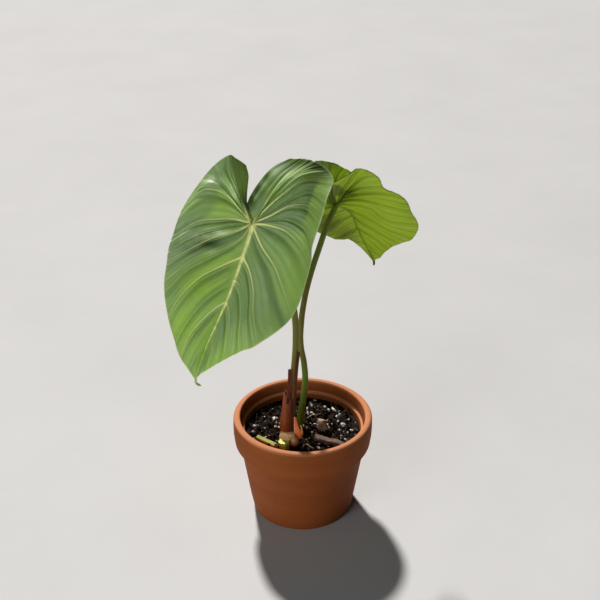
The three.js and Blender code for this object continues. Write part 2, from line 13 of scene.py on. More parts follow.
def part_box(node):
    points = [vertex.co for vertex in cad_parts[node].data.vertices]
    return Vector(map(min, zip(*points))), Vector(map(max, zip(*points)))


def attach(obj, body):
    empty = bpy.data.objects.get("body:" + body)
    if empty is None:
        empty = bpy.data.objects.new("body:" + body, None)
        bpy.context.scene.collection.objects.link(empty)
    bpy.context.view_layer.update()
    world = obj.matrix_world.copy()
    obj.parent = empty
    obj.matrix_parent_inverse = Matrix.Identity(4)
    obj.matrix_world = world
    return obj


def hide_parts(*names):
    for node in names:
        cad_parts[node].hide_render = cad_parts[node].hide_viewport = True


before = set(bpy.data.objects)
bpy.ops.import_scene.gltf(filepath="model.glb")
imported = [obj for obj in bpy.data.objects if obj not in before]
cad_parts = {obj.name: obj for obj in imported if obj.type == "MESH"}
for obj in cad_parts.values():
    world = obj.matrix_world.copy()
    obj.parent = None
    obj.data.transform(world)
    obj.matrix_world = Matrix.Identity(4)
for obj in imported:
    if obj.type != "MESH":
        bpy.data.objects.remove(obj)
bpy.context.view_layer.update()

mm = 0.001
potLow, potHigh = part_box("pot")
potAxis = (potLow + potHigh) / 2


def at(x, y, z):
    return Vector((potAxis.x + x * mm, potAxis.y + y * mm, z * mm))


def between(low, high, share):
    return low + (high - low) * share


# Materials: sockets that can be added, subtracted and multiplied, and a maker of nodes with its colour so far

class Wire:
    def __init__(self, finish, socket):
        self.finish = finish
        self.socket = socket

    def math(self, operation, first, second):
        return self.finish.add("Math", {"operation": operation}, {0: first, 1: second})

    def __add__(self, other):
        return self.math("ADD", self, other)

    def __sub__(self, other):
        return self.math("SUBTRACT", self, other)

    def __rsub__(self, other):
        return self.math("SUBTRACT", other, self)

    def __mul__(self, other):
        return self.math("MULTIPLY", self, other)

    __radd__ = __add__
    __rmul__ = __mul__


class Finish:
    def __init__(self, name):
        self.material = bpy.data.materials.new(name)
        self.material.use_nodes = True
        self.tree = self.material.node_tree
        self.tree.nodes.clear()
        self.colour = None

    def add(self, kind, settings=None, inputs=None, output=0):
        node = self.tree.nodes.new("ShaderNode" + kind)
        for key, value in (settings or {}).items():
            setattr(node, key, value)
        for key, value in (inputs or {}).items():
            socket = node.inputs[key]
            if isinstance(value, Wire):
                self.tree.links.new(value.socket, socket)
            else:
                socket.default_value = (*value, 1) if socket.type == "RGBA" else value
        return Wire(self, node.outputs[output])

    def grain(self, scale, detail=4, roughness=0.5, stretch=(1, 1, 1), distortion=0):
        place = self.add("TexCoord", output="Object")
        turned = self.add("Mapping", None, {"Vector": place, "Scale": stretch})
        inputs = {"Vector": turned, "Scale": scale, "Detail": detail, "Roughness": roughness,
                  "Distortion": distortion}
        return self.add("TexNoise", None, inputs)

    def kept(self, name):
        return self.add("Attribute", {"attribute_name": name}, output="Fac")

    def rise(self, value, low, high):
        inputs = {"Value": value, "From Min": low, "From Max": high}
        return self.add("MapRange", {"interpolation_type": "SMOOTHSTEP"}, inputs)

    def height(self):
        place = self.add("TexCoord", output="Object")
        return self.add("SeparateXYZ", None, {0: place}, "Z")

    def wave(self, value):
        return self.add("Math", {"operation": "SINE"}, {0: value})

    def blend(self, share, first, second):
        settings = {"data_type": "RGBA", "clamp_factor": True}
        return self.add("Mix", settings, {0: share, 6: first, 7: second}, 2)

    def ground(self, share, first, second):
        self.colour = self.blend(share, first, second)

    def cloudy(self, source, first, second):
        self.ground(self.rise(source, 0.3, 0.7), first, second)

    def tint(self, share, tone):
        # lays a tone over the colour so far
        self.colour = self.blend(share, self.colour, tone)

    def patch(self, source, low, high, share, tone):
        # the same, where the source rises from low to high
        self.tint(self.rise(source, low, high) * share, tone)

    def skin(self, roughness, relief, depth, **fixed):
        normal = self.add("Bump", None, {"Height": relief, "Distance": depth * mm, "Strength": 1.0})
        inputs = {"Base Color": self.colour, "Roughness": roughness, "Normal": normal}
        sockets = {"gloss": "Specular IOR Level", "soft": "Subsurface Weight", "ior": "IOR"}
        inputs.update({sockets[key]: value for key, value in fixed.items()})
        return self.add("BsdfPrincipled", None, inputs)

    def done(self, roughness, relief, depth, **fixed):
        return self.show(self.skin(roughness, relief, depth, **fixed))

    def show(self, shader):
        out = self.tree.nodes.new("ShaderNodeOutputMaterial")
        self.tree.links.new(shader.socket, out.inputs["Surface"])
        return self.material


def darker(colour, share):
    return tuple(c * share for c in colour)


# Modelling helpers

def clearSelection():
    active = bpy.context.view_layer.objects.active
    if active and active.mode != "OBJECT":
        leaveEdit()
    bpy.ops.object.select_all(action="DESELECT")


def takeNew(name):
    piece = bpy.context.active_object
    piece.name = name
    piece.data.name = name
    return piece


def added(name, operator, **settings):
    clearSelection()
    operator(**settings)
    return takeNew(name)


def choose(*pieces):
    clearSelection()
    for piece in pieces:
        piece.select_set(True)
    bpy.context.view_layer.objects.active = pieces[0]


def enterEdit(action="SELECT"):
    bpy.ops.object.mode_set(mode="EDIT")
    bpy.ops.mesh.select_all(action=action)


def leaveEdit():
    bpy.ops.object.mode_set(mode="OBJECT")


def applyModifiers(piece):
    choose(piece)
    for modifier in list(piece.modifiers):
        bpy.ops.object.modifier_apply(modifier=modifier.name)


def dress(piece, finishes, nodes=(), smoothAngle=45):
    choose(piece)
    bpy.ops.object.transform_apply()
    bpy.ops.object.shade_smooth_by_angle(angle=radians(smoothAngle))
    for finish in finishes:
        piece.data.materials.append(finish)
    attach(piece, "root")
    if nodes:
        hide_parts(*nodes)


def grid(name, across, down):
    # a flat grid from -1 to 1 both ways
    return added(name, bpy.ops.mesh.primitive_grid_add, x_subdivisions=across, y_subdivisions=down, size=2)


def thicken(piece, thickness, offset):
    solid = piece.modifiers.new("thickness", "SOLIDIFY")
    solid.thickness = thickness * mm
    solid.offset = offset
    return solid


def drawnRings(name, centre, profile, sides):
    # a ring of edges drawn out through a profile of [radius, height]
    radius, height = profile[0]
    piece = added(name, bpy.ops.mesh.primitive_circle_add, vertices=sides, radius=radius * mm,
                  location=at(*centre, height))
    enterEdit()
    for (fromRadius, fromHeight), (toRadius, toHeight) in zip(profile, profile[1:]):
        rise = {"value": (0, 0, (toHeight - fromHeight) * mm)}
        bpy.ops.mesh.extrude_region_move(TRANSFORM_OT_translate=rise)
        grow = toRadius / fromRadius
        bpy.ops.transform.resize(value=(grow, grow, 1), center_override=at(*centre, toHeight))
    leaveEdit()
    choose(piece)
    bpy.ops.object.transform_apply()
    return piece


def closeRings(piece, sides):
    # the first and last ring of a drawn shape, filled
    choose(piece)
    count = len(piece.data.vertices)
    for ring in (range(sides), range(count - sides, count)):
        enterEdit("DESELECT")
        leaveEdit()
        for index in ring:
            piece.data.vertices[index].select = True
        bpy.ops.object.mode_set(mode="EDIT")
        bpy.ops.mesh.edge_face_add()
        leaveEdit()


def tidyMesh(piece, distance=0.01):
    choose(piece)
    enterEdit()
    bpy.ops.mesh.remove_doubles(threshold=distance * mm)
    bpy.ops.mesh.normals_make_consistent(inside=False)
    leaveEdit()


def roughen(piece, size, depth, stretch=(1, 1, 1), seed=0):
    # moves each point along its normal by a noise of that size and depth, in mm
    mesh = piece.data
    shifts = []
    for vertex in mesh.vertices:
        place = Vector([c / (size * mm) * s for c, s in zip(vertex.co, stretch)])
        shifts.append(vertex.normal * noise.noise(place + Vector((seed, seed, 0))) * depth * mm)
    for vertex, shift in zip(mesh.vertices, shifts):
        vertex.co += shift


def arc(radius, height, size, fromAngle, toAngle, steps):
    # points of a round corner, [radius, height], angles from outwards towards up
    points = []
    for i in range(steps + 1):
        angle = radians(between(fromAngle, toAngle, i / steps))
        points.append([radius + size * cos(angle), height + size * sin(angle)])
    return points


def splineAt(points, part):
    # a smooth curve through the points, at one or many parts of its length from 0 to 1
    points = np.asarray(points, float)
    padded = np.concatenate([2 * points[:1] - points[1:2], points, 2 * points[-1:] - points[-2:-1]])
    spans = len(points) - 1
    where = np.clip(np.atleast_1d(part), 0, 1) * spans
    span = np.minimum(where.astype(int), spans - 1)
    t = (where - span).reshape(-1, *[1] * (points.ndim - 1))
    a, b, c, d = (padded[span + k] for k in range(4))
    return (2 * b + (c - a) * t + (2 * a - 5 * b + 4 * c - d) * t**2 + (3 * b - a - 3 * c + d) * t**3) / 2


def keepValues(mesh, name, values):
    attribute = mesh.attributes.new(name, "FLOAT", "POINT")
    attribute.data.foreach_set("value", np.asarray(values, np.float32))


def readValues(data, key, width=1):
    values = np.zeros(len(data) * width)
    data.foreach_get(key, values)
    return values if width == 1 else values.reshape(-1, width)


# Pot

pot = {
    "height": 91.6, "rim": 60, "rimInside": 54.2, "lip": 2.6, "lipInside": 1.4, "bulge": 0.2,
    "collar": 25.5, "collarFoot": 59, "collarStep": 1.5, "collarRound": 1.3,
    "bodyTop": 54.8, "base": 44, "baseRound": 1.4,
    "ledgeDepth": 11, "ledge": 52.2, "ledgeStep": 1.6, "ledgeDrop": 1.2, "ledgeRound": 0.6,
    "floorInside": 39, "floor": 8, "drain": 6, "sides": 160,
}


def potInside(height):
    top = pot["height"] - pot["ledgeDepth"] - pot["ledgeDrop"]
    share = (height - pot["floor"]) / (top - pot["floor"])
    return between(pot["floorInside"], pot["ledge"] - pot["ledgeStep"], share)


def terracotta():
    finish = Finish("terracotta")
    clouds = finish.grain(22, 5, 0.6)
    bands = finish.grain(60, 3, 0.5, (0.15, 0.15, 1))
    specks = finish.grain(900, 2, 0.6)
    upwards = finish.height()
    # the top of the rim, which is made lighter as painted light where the sun falls on it
    rim = finish.rise(upwards + clouds * 0.002, (pot["height"] - 1.6) * mm, (pot["height"] + 0.4) * mm)
    finish.ground(clouds, (0.21, 0.05, 0.008), (0.29, 0.08, 0.017))
    finish.patch(bands, 0.35, 0.75, 0.35, (0.15, 0.035, 0.006))
    finish.patch(specks, 0.62, 0.75, 0.3, (0.42, 0.19, 0.085))
    finish.patch(specks, 0.38, 0.28, 0.4, (0.13, 0.035, 0.009))
    # painted shade on the inner wall, from below the rim down to the soil
    insideShade = finish.kept("inside") * (1 - finish.rise(upwards + clouds * 0.004, 84 * mm, 92 * mm))
    finish.tint(insideShade * 0.6, (0.1, 0.028, 0.008))
    # a painted highlight along the inner ledge
    ledge = (pot["height"] - pot["ledgeDepth"]) * mm
    overShelf = finish.rise(upwards, ledge + 0.6 * mm, ledge + 2 * mm)
    shelfHighlight = finish.rise(upwards, ledge - 1.4 * mm, ledge) * (1 - overShelf)
    finish.tint(shelfHighlight * finish.kept("inside") * 0.8, (0.5, 0.2, 0.09))
    # painted light on the top of the rim
    finish.tint(rim * 0.9, (0.46, 0.18, 0.08))
    height = finish.grain(1400, 3, 0.6) + bands * 2 + finish.grain(180, 3) * 1.5
    roughness = 0.7 + clouds * 0.2
    return finish.done(roughness, height, 0.12, gloss=0.2)


def makePot():
    p = pot
    top = p["height"]
    foot = top - p["collar"]
    ledge = top - p["ledgeDepth"]
    step = foot - p["collarStep"]
    curve, inner, low = p["collarRound"], p["lipInside"], p["ledgeRound"]
    profile = [[p["drain"], 0], [p["base"] - p["baseRound"] - 12, 0]]
    profile += arc(p["base"] - p["baseRound"], p["baseRound"], p["baseRound"], -90, -8, 5)
    profile += [[between(p["base"], p["bodyTop"], k / 6), foot * k / 6] for k in range(1, 6)]
    profile += [[p["bodyTop"] - 0.1, step - 0.8], [p["bodyTop"] + 0.5, step]]
    profile += arc(p["collarFoot"] - curve, foot + 1.1, curve, -65, 5, 5)
    profile += [[p["rim"], top - 16], [p["rim"] + p["bulge"], top - 10]]
    profile += arc(p["rim"] - p["lip"], top - p["lip"], p["lip"], 0, 90, 7)
    profile += arc(p["rimInside"] + inner, top - inner, inner, 90, 180, 4)
    profile += [[p["rimInside"] - 1, ledge + 5], [p["ledge"] + 0.2, ledge + low]]
    profile += arc(p["ledge"] - p["ledgeStep"] + low, ledge - low, low, 90, 180, 3)
    profile += [[potInside(h), h] for h in (70, 50, 30, p["floor"] + 1)]
    profile += [[p["floorInside"] - 3, p["floor"]], [p["drain"] + 0.6, p["floor"]]]
    profile += [[p["drain"], p["floor"] - 0.6], [p["drain"], 0]]
    piece = drawnRings("terracotta_pot", (0, 0), profile, p["sides"])
    tidyMesh(piece)
    roughen(piece, 38, 0.35, seed=3)
    inside = []
    for vertex in piece.data.vertices:
        vertex.co.z = max(vertex.co.z, 0)
        away = hypot(vertex.co.x - potAxis.x, vertex.co.y - potAxis.y)
        inside.append(1 if away < (p["rimInside"] + 0.3) * mm and vertex.co.z > foot * mm else 0)
    keepValues(piece.data, "inside", inside)
    dress(piece, [terracotta()], ["pot"], 50)
    print("pot made")


# Potting mix, with its grains and crumbs

mix = {"level": 76, "relief": 0.9, "wall": 0.4, "sides": 140, "rings": 46, "lumps": 3, "crumbs": 1100,
       "slivers": 150, "grains": 150}


def mixHeight(x, y):
    # height of the mix in mm at a place in mm
    waves = sin(x * 0.31 + 1.2) * cos(y * 0.27 - 0.4) + 0.6 * sin(x * 0.73 - y * 0.61)
    fine = noise.fractal(Vector((x / 5, y / 5, 7.3)), 0.8, 2.2, 5)
    edge = min(1, max(0, (potInside(mix["level"]) - hypot(x, y)) / 4))
    return mix["level"] + (mix["relief"] * waves + mix["lumps"] * fine) * edge - 0.4


def pottingMix():
    finish = Finish("potting_mix")
    coarse = finish.grain(260, 6, 0.7)
    fine = finish.grain(1100, 4, 0.65)
    fibre = finish.grain(500, 3, 0.6, (1, 3, 1), 1.5)
    finish.ground(finish.rise(coarse, 0.35, 0.7), (0.004, 0.0025, 0.002), (0.026, 0.013, 0.007))
    finish.patch(fibre, 0.62, 0.72, 0.7, (0.07, 0.035, 0.018))
    finish.patch(fine, 0.68, 0.76, 0.5, (0.19, 0.13, 0.09))
    height = coarse * 3 + fine
    return finish.done(0.9, height, 0.9, gloss=0.12)


def crumbFinish(name, dark, light):
    finish = Finish(name)
    cloud = finish.grain(420, 4, 0.6)
    streak = finish.grain(300, 3, 0.6, (1, 4, 1))
    finish.cloudy(cloud, dark, light)
    return finish.done(0.85, streak + cloud, 0.4, gloss=0.15)


def perliteFinish():
    finish = Finish("perlite")
    cloud = finish.grain(500, 4, 0.6)
    pits = finish.grain(1500, 3, 0.6)
    finish.ground(finish.rise(cloud, 0.35, 0.6), (0.42, 0.36, 0.3), (0.82, 0.79, 0.74))
    finish.patch(pits, 0.42, 0.3, 0.6, (0.2, 0.16, 0.13))
    return finish.done(0.75, pits, 0.3, soft=0.15)


# the grains that stand out most: x, y, radius
bigGrains = [
    [7.2, 41, 1.5], [11.1, 43.2, 1.5], [8.2, 35, 1.4], [4.2, 32.6, 1.5], [7.7, 26.2, 1.7], [10.1, 24.9, 1.4],
    [4.7, 23.5, 1.2], [20, 32.1, 1.2], [23, 31.3, 1.3], [27.9, 28.4, 2.2], [23.2, 26.2, 1.3],
    [30.2, 20.8, 1.8], [33, 21.6, 1.3], [18.3, 14.1, 2], [21.7, 12.7, 1.1], [31.4, 10.6, 1.6],
    [40.1, 12.7, 1.2], [35.5, 5.2, 1.9], [21.7, 6.1, 1.4], [25, 5.2, 1.2], [22.6, 0.8, 1.5],
    [32.1, 0, 1.3], [42.6, -2.2, 1.6], [0.3, 4.3, 1.4],
    [10.9, 6.1, 1.5], [5.1, -2.2, 1.3], [8.3, -6.4, 1], [13.8, -22.5, 1.4], [17.9, -22.2, 1.3],
    [19.9, -22.4, 1.1], [13.7, -28.5, 1.7], [37.5, -18.4, 1.4], [-22.7, 17.6, 1.4], [-25, 12.7, 2],
    [-20.2, 1.2, 1.5], [-33.9, 17.6, 1.4], [-32.5, -12.8, 1.3], [-42.2, 2.3, 1.7], [-43, -6.1, 1.6],
    [-40, 7.5, 1.2], [-18.6, -20.2, 1.6],
]


def stone(name, subdivisions, seed, rough):
    # one rough stone, a millimetre in radius, at the origin
    piece = added(name, bpy.ops.mesh.primitive_ico_sphere_add, subdivisions=subdivisions, radius=mm)
    roughen(piece, 0.9, rough, seed=seed)
    return piece


def scattered(name, models, places, seed, flat=(0.7, 1)):
    # copies of the models at [x, y, radius], each turned and squashed its own way, joined in one piece
    draw = random.Random(seed)
    copies = []
    for x, y, radius in places:
        model = models[draw.randrange(len(models))]
        copy = bpy.data.objects.new(name, model.data.copy())
        bpy.context.collection.objects.link(copy)
        copy.rotation_euler = [draw.uniform(0, 6.28) for _ in range(3)]
        copy.scale = [radius * draw.uniform(*span) for span in ((0.8, 1.25), (0.7, 1), flat)]
        copy.location = at(x, y, mixHeight(x, y) + radius * 0.35)
        copies.append(copy)
    choose(*copies)
    bpy.ops.object.transform_apply()
    bpy.ops.object.join()
    for model in models:
        bpy.data.objects.remove(model)
    return takeNew(name)


def randomPlaces(count, seed, sizes, reach):
    draw = random.Random(seed)
    places = []
    for _ in range(count):
        distance = reach * sqrt(draw.random())
        angle = draw.uniform(0, 2 * pi)
        size = between(*sizes, draw.random() ** 2)
        places.append([distance * cos(angle), distance * sin(angle), size])
    return places


def makeMix():
    wall = mix["wall"]
    low = pot["floor"] + 0.3
    rim = potInside(mix["level"]) - wall
    profile = [[1, low], [potInside(low) - wall, low], [potInside(40) - wall, 40], [rim, mix["level"] - 2]]
    profile += [[rim * (1 - k / mix["rings"]), mix["level"]] for k in range(mix["rings"])]
    piece = drawnRings("potting_mix", (0, 0), profile, mix["sides"])
    closeRings(piece, mix["sides"])
    tidyMesh(piece)
    for vertex in piece.data.vertices:
        if vertex.co.z > (mix["level"] - 1) * mm:
            vertex.co.z = mixHeight((vertex.co.x - potAxis.x) / mm, (vertex.co.y - potAxis.y) / mm) * mm
    dress(piece, [pottingMix()], ["soil"], 80)

    reach = potInside(mix["level"]) - 2.5
    grains = [stone("grain", 2, 10 + k, 0.9) for k in range(6)]
    places = bigGrains + randomPlaces(mix["grains"], 31, (0.4, 1.1), reach)
    piece = scattered("perlite", grains, places, 7, (0.6, 0.95))
    dress(piece, [perliteFinish()], (), 70)

    crumbs = [stone("crumb", 1, 20 + k, 0.9) for k in range(5)]
    places = randomPlaces(mix["crumbs"], 43, (0.5, 2.3), reach)
    piece = scattered("dark_crumbs", crumbs, places, 8, (0.4, 0.8))
    dress(piece, [crumbFinish("crumb", (0.004, 0.003, 0.002), (0.035, 0.018, 0.01))], (), 30)

    slivers = [stone("sliver", 1, 30 + k, 0.5) for k in range(4)]
    for sliver in slivers:
        for vertex in sliver.data.vertices:
            vertex.co = Vector((vertex.co.x * 2.4, vertex.co.y * 0.6, vertex.co.z * 0.4))
    places = randomPlaces(mix["slivers"], 57, (0.5, 1.5), reach)
    piece = scattered("bark_slivers", slivers, places, 9, (0.6, 1))
    dress(piece, [crumbFinish("sliver", (0.06, 0.03, 0.018), (0.2, 0.12, 0.075))], (), 30)
    print("potting mix made")


# Leaves

# Each rib goes from the midrib to the edge in four points of across, up and forward, in mm from the join.
# The starts say where on the midrib the ribs begin, and the strengths how much of a vein each one shows.

bladeA = {
    "star": 4.4, "join": [-37.9, -50, 295.8], "face": [0, 0, 1], "puff": 1.5, "pleat": 0.35,
    "midrib": [[-4, 15, -3], [0, 0, 0], [-7, -25, 1], [-19, -58, 1], [-33, -89, -1], [-42, -115, -5],
               [-38, -121.5, -8]],
    "starts": [0, 1, 1, 1, 1, 1, 1, 1, 1, 2, 2.5, 3, 3.5, 5, 6],
    "midribHalf": [[1, 2], [2, 1.5], [3, 1.1], [4, 0.6], [5, 0.3], [6, 0.2]],
    "leftStrength": [0, 0.5, 0.8, 0.1, 0.9, 0.8, 0.1, 0.8, 0.45, 0.9, 0.1, 0.7, 0.1, 0, 0],
    "rightStrength": [0, 0.8, 0.12, 0.9, 0.12, 0.8, 0.1, 0.9, 0.75, 0.6, 0.08, 0.3, 0.05, 0, 0],
    "left": [
        [[-4, 21, -5], [-3.5, 29, -7], [-3, 37, -9], [-5, 45, -10]],
        [[-6, 12, -1], [-8, 23, -1], [-9, 35, -2], [-12, 49, -3]],
        [[-8, 17, 1], [-12, 28, 5], [-16, 39, 6], [-18, 50, 4]],
        [[-11, 15, 2], [-19, 26, 5], [-26, 33, 4], [-33, 39, -2]],
        [[-15, 17, 2], [-26, 24, 5], [-38, 24, 2], [-52, 13, -8]],
        [[-13, 3, 1], [-26, 3, 3], [-41, 1, 2], [-60, -9, -7]],
        [[-13, -1, 1], [-28, -4, 3], [-45, -9, 1.5], [-63, -19, -7]],
        [[-12, -6, 1], [-29, -11, 3], [-46, -19, 1], [-64, -28, -6]],
        [[-10, -13, 2], [-26, -21.5, 4], [-46, -31, 3], [-66, -47, -6]],
        [[-21, -31, 3], [-38, -40, 4], [-53, -54, 2], [-63, -69, -5]],
        [[-22, -46, 3], [-36, -56, 4], [-49, -72, 1], [-58, -87, -5]],
        [[-27, -63, 3], [-37, -72, 3], [-47, -84, 0], [-54, -99, -5]],
        [[-33, -82, 2], [-39, -90, 2], [-44, -99, -1], [-48, -108, -5]],
        [[-42.3, -115, -5], [-42.5, -115.1, -5], [-42.7, -115.2, -5], [-43, -115.4, -5.2]],
    ],
    "right": [
        [[-1, 22, -4], [6, 33, -6], [15, 43, -8], [28, 50, -10]],
        [[7, 10, 1], [15, 23, 3], [25, 35, 1], [42, 49, -8]],
        [[7, 10, 2], [19, 23, 6], [34, 36, 5], [54, 44, -12]],
        [[10, 10, 3], [24, 22, 7], [39, 32, 6], [61, 35, -18]],
        [[12, 8, 3], [25, 15, 7], [42, 24, 3], [56, 20, -20]],
        [[13, 5, 3], [27, 12, 6], [41, 13, 2], [52, 5, -18]],
        [[14, 2, 3], [28, 3, 5], [40, -3, 1], [45, -16, -16]],
        [[13, -2, 3], [26, -7, 5], [37, -19, 1], [43, -33, -13]],
        [[7, -17, 3], [17, -33, 5], [24, -52, 3], [30, -69, -7]],
        [[-2, -35, 3], [1, -50, 5], [1, -68, 4], [4, -90, -3]],
        [[-8, -50, 3], [-7, -66, 4], [-8, -81, 2], [-8, -95, -3]],
        [[-17, -66, 2], [-17, -78, 3], [-18, -89, 1], [-20, -101, -3]],
        [[-27, -84, 1], [-28, -92, 1], [-30, -100, 0], [-32, -108, -3]],
        [[-41.7, -115, -5], [-41.5, -114.9, -5], [-41.3, -114.8, -5], [-41, -114.6, -5.2]],
    ],
    # soft areas of painted light and shade, the last for painted rim light along the border: across, up, half
    # width, half height, amount
    "paintedGlow": [[-42, -46, 16, 12, 1], [-50, -75, 12, 22, 0.9], [-27, -29, 14, 6, 0.7], [-22, 13, 12, 5, 0.6],
              [-38, 11, 10, 5, 0.5], [36, 38, 14, 5, 0.8], [15, 24, 6, 10, 0.6], [-35, -94, 8, 10, 0.6]],
    "sheen": [[-62, -23, 7, 16, 1], [-54, -6, 8, 9, 0.8], [-15, 25, 4, 10, 0.8], [24, 44, 14, 5, 0.9],
              [55, 26, 6, 12, 1], [35, -1, 12, 8, 0.6], [8, -57, 8, 22, 0.5], [-2, -83, 12, 12, 0.4],
              [34, -20, 7, 12, 0.5], [-12, 39, 5, 9, 0.7]],
    "shade": [[-32, -15.5, 9, 3.2, 1.2], [-44, -19, 8, 3, 0.6], [-1, 18, 4, 6, 1.3],
              [3, 27, 5, 7, 1.3], [10, 36, 5, 6, 1.2], [36, 48, 26, 7, 1.25], [8, -70, 15, 16, 0.35]],
    "pale": [[-29, 31, 5, 3, 0.8], [-13, 24, 2, 7, 0.8], [-24, -7, 7, 2.4, 1.1], [-37, -9, 6, 2, 0.7],
             [-30, -22, 4, 1.5, 0.4], [60, 26, 3, 12, 1.2]],
    "edge": [[60, 26, 12, 16, 1.4], [52, 2, 10, 20, 1.2], [43, -32, 10, 20, 0.8]],
}

bladeB = {
    "star": 1, "join": [27.5, 35, 274.6], "face": [0.13, 0.86, -0.5], "puff": 1.8, "pleat": 0.4,
    "midrib": [[-3, 8, 10], [0, 0, 0], [8, -3, -9], [14, -7, -20], [19, -16, -37], [26, -27, -54],
               [34.4, -42, -70], [35, -46.5, -73.5]],
    "starts": [0, 1, 1, 1, 1, 1, 1, 2, 3, 4, 5, 6, 7],
    "midribHalf": [[1, 1.5], [3, 1.2], [5, 0.9], [7, 0.3]],
    "leftStrength": [0, 1, 0.6, 1, 0.7, 0.9, 1, 1, 1, 0.8, 0.4, 0, 0],
    "rightStrength": [0, 1, 0.6, 1, 0.7, 0.9, 1, 1, 1, 0.8, 0.4, 0, 0],
    # soft areas of painted light and shade, as on the front leaf
    "paintedGlow": [[30, 2, 26, 14, 0.8], [30, -28, 14, 12, 0.7]],
    "sheen": [[26, 11, 6, 5, 0.8], [4, 20, 6, 6, 0.5], [-10, 27, 13, 6, 1.2], [-27, 22, 7, 7, 1]],
    "shade": [[-8, -14, 13, 8, 1], [8, -22, 9, 7, 0.8], [-30, 0, 14, 14, 0.6], [64, 2, 12, 18, 0.3]],
    "pale": [[-3, 10, 2, 2, 0.6]],
    "edge": [],
    "left": [
        [[-1, 14, 6], [4, 19, 4], [8, 23, 4], [12, 25, 5]],
        [[-3, 6, 7], [-2, 15, 9], [1, 23, 9], [5, 28, 8]],
        [[-5, 5, 6], [-6, 15, 10], [-6, 24, 13], [-6, 32, 12]],
        [[-6, 4, 3], [-12, 13, 8], [-18, 23, 12], [-21, 32, 12]],
        [[-8, 3, 0], [-17, 9, 3], [-26, 17, 5], [-31, 25, 3]],
        [[-8, 1, -4], [-18, 4, -6], [-28, 7, -9], [-37, 12, -13]],
        [[-7, -3, -9], [-16, -3, -17], [-26, -3, -25], [-35, -1, -31]],
        [[0, -6, -19], [-9, -9, -29], [-18, -12, -40], [-26, -13, -48]],
        [[6, -11, -30], [-1, -16, -42], [-7, -19, -53], [-12, -19, -58]],
        [[15, -20, -43], [11, -22, -51], [7, -24, -57], [1, -24, -61]],
        [[23, -28, -56], [21, -28, -58], [19, -27, -60], [15, -25, -61]],
        [[34, -42, -70], [33.8, -42, -70], [33.5, -42, -69.8], [33.1, -41.8, -69.5]],
    ],
    "right": [
        [[-4, 14, 18], [0, 16, 23], [5, 18, 30], [11, 21, 37]],
        [[3, 6, 8], [8, 12, 20], [13, 18, 32], [17, 23, 41]],
        [[7, 7, 9], [14, 12, 21], [22, 16, 33], [31, 17, 38]],
        [[7, 6, 8], [17, 9, 17], [27, 9, 24], [37, 9, 29]],
        [[8, 4, 5], [21, 5, 14], [36, 4, 21], [53, 2, 22]],
        [[11, 2, 3], [25, 0, 8], [41, -5, 8], [61, -8, 5]],
        [[11, -1, -3], [26, -4, -5], [43, -14, -10], [68, -18, -11]],
        [[17, -6, -16], [28, -12, -19], [44, -20, -26], [64, -27, -28]],
        [[21, -13, -27], [33, -20, -33], [43, -25, -38], [54, -30, -41]],
        [[26, -21, -42], [33, -25, -47], [40, -30, -51], [46, -34, -53]],
        [[30, -31, -57], [33, -35, -59], [36, -38, -61], [40, -40, -62]],
        [[34.8, -42, -70], [35, -42, -70], [35.4, -42.2, -69.8], [35.8, -42.2, -69.5]],
    ],
}

leafForm = {"lean": 30, "perRib": 14, "across": 36, "thickness": 0.62, "veinHalf": 1.1, "samples": 120,
            "midribRidge": 1.2, "veinRidge": 0.5, "groove": 0.2, "merge": 0.02,
            "hem": (0.2, 1.0), "litBorder": (0.8, 2.6)}


def bladeRow(blade, side, rib, along):
    # points of a blade in mm on its leaning plane, for one rib number and many parts along it
    ribs = blade["left"] if side < 0 else blade["right"]
    rows = np.array(ribs + [[blade["midrib"][-1]] * 4], float)
    starts = np.array(blade["starts"]) / (len(blade["midrib"]) - 1)
    foot = splineAt(blade["midrib"], np.interp(rib, range(len(starts)), starts))
    row = splineAt(rows, rib / (len(rows) - 1))[0]
    last = len(ribs) - 1
    if rib > last:
        # the thin end of the tip narrows evenly
        row = foot + (rows[last] - splineAt(blade["midrib"], starts[last])) * (last + 1 - rib)
    course = np.vstack([foot, row])
    places = splineAt(course, along)
    face = np.array(blade["face"], float)
    face /= norm(face)
    fade = np.sin(np.pi * np.minimum(along * 0.85 + 0.05, 1)) * np.minimum(1, along * 4)
    nearTip = min(1, (len(rows) - 1 - rib) / 2)
    puff = blade["puff"] * sin(pi * (rib - floor(rib))) ** 2
    pleat = blade["pleat"] * sin(6 * pi * rib)
    return places + np.outer(fade * (puff + pleat) * nearTip, face)


def veinReach(blade, side, rib, along, places):
    # how far each point is from the nearest vein, counted in that vein's half width, and its tone
    reach = np.full(len(along), 9.0)
    tone = np.zeros(len(along))
    strengths = blade["leftStrength"] if side < 0 else blade["rightStrength"]
    for number in {floor(rib), ceil(rib)}:
        strength = strengths[number]
        if strength == 0:
            continue
        vein = bladeRow(blade, side, number, along)
        run = np.gradient(vein, axis=0)
        run /= norm(run, axis=1, keepdims=True) + 1e-9
        off = places - vein
        off -= run * np.sum(off * run, axis=1, keepdims=True)
        half = leafForm["veinHalf"] * sqrt(strength) * (0.25 + 0.75 * (1 - along) ** 1.6)
        gap = norm(off, axis=1) / half
        tone = np.where(gap < reach, strength, tone)
        reach = np.minimum(reach, gap)
    spans = len(blade["midrib"]) - 1
    samples = leafForm["samples"]
    course = splineAt(blade["midrib"], np.linspace(1 / spans, 1, samples))
    gaps = norm(places[:, None] - course[None], axis=2)
    nearest = 1 + gaps.argmin(axis=1) / (samples - 1) * (spans - 1)
    middle = gaps.min(axis=1) / np.interp(nearest, *np.transpose(blade["midribHalf"]))
    middle = np.minimum(middle, norm(places, axis=1) / blade["star"])
    tone = np.where(middle < reach, 1, tone)
    return np.minimum(reach, middle), tone, middle


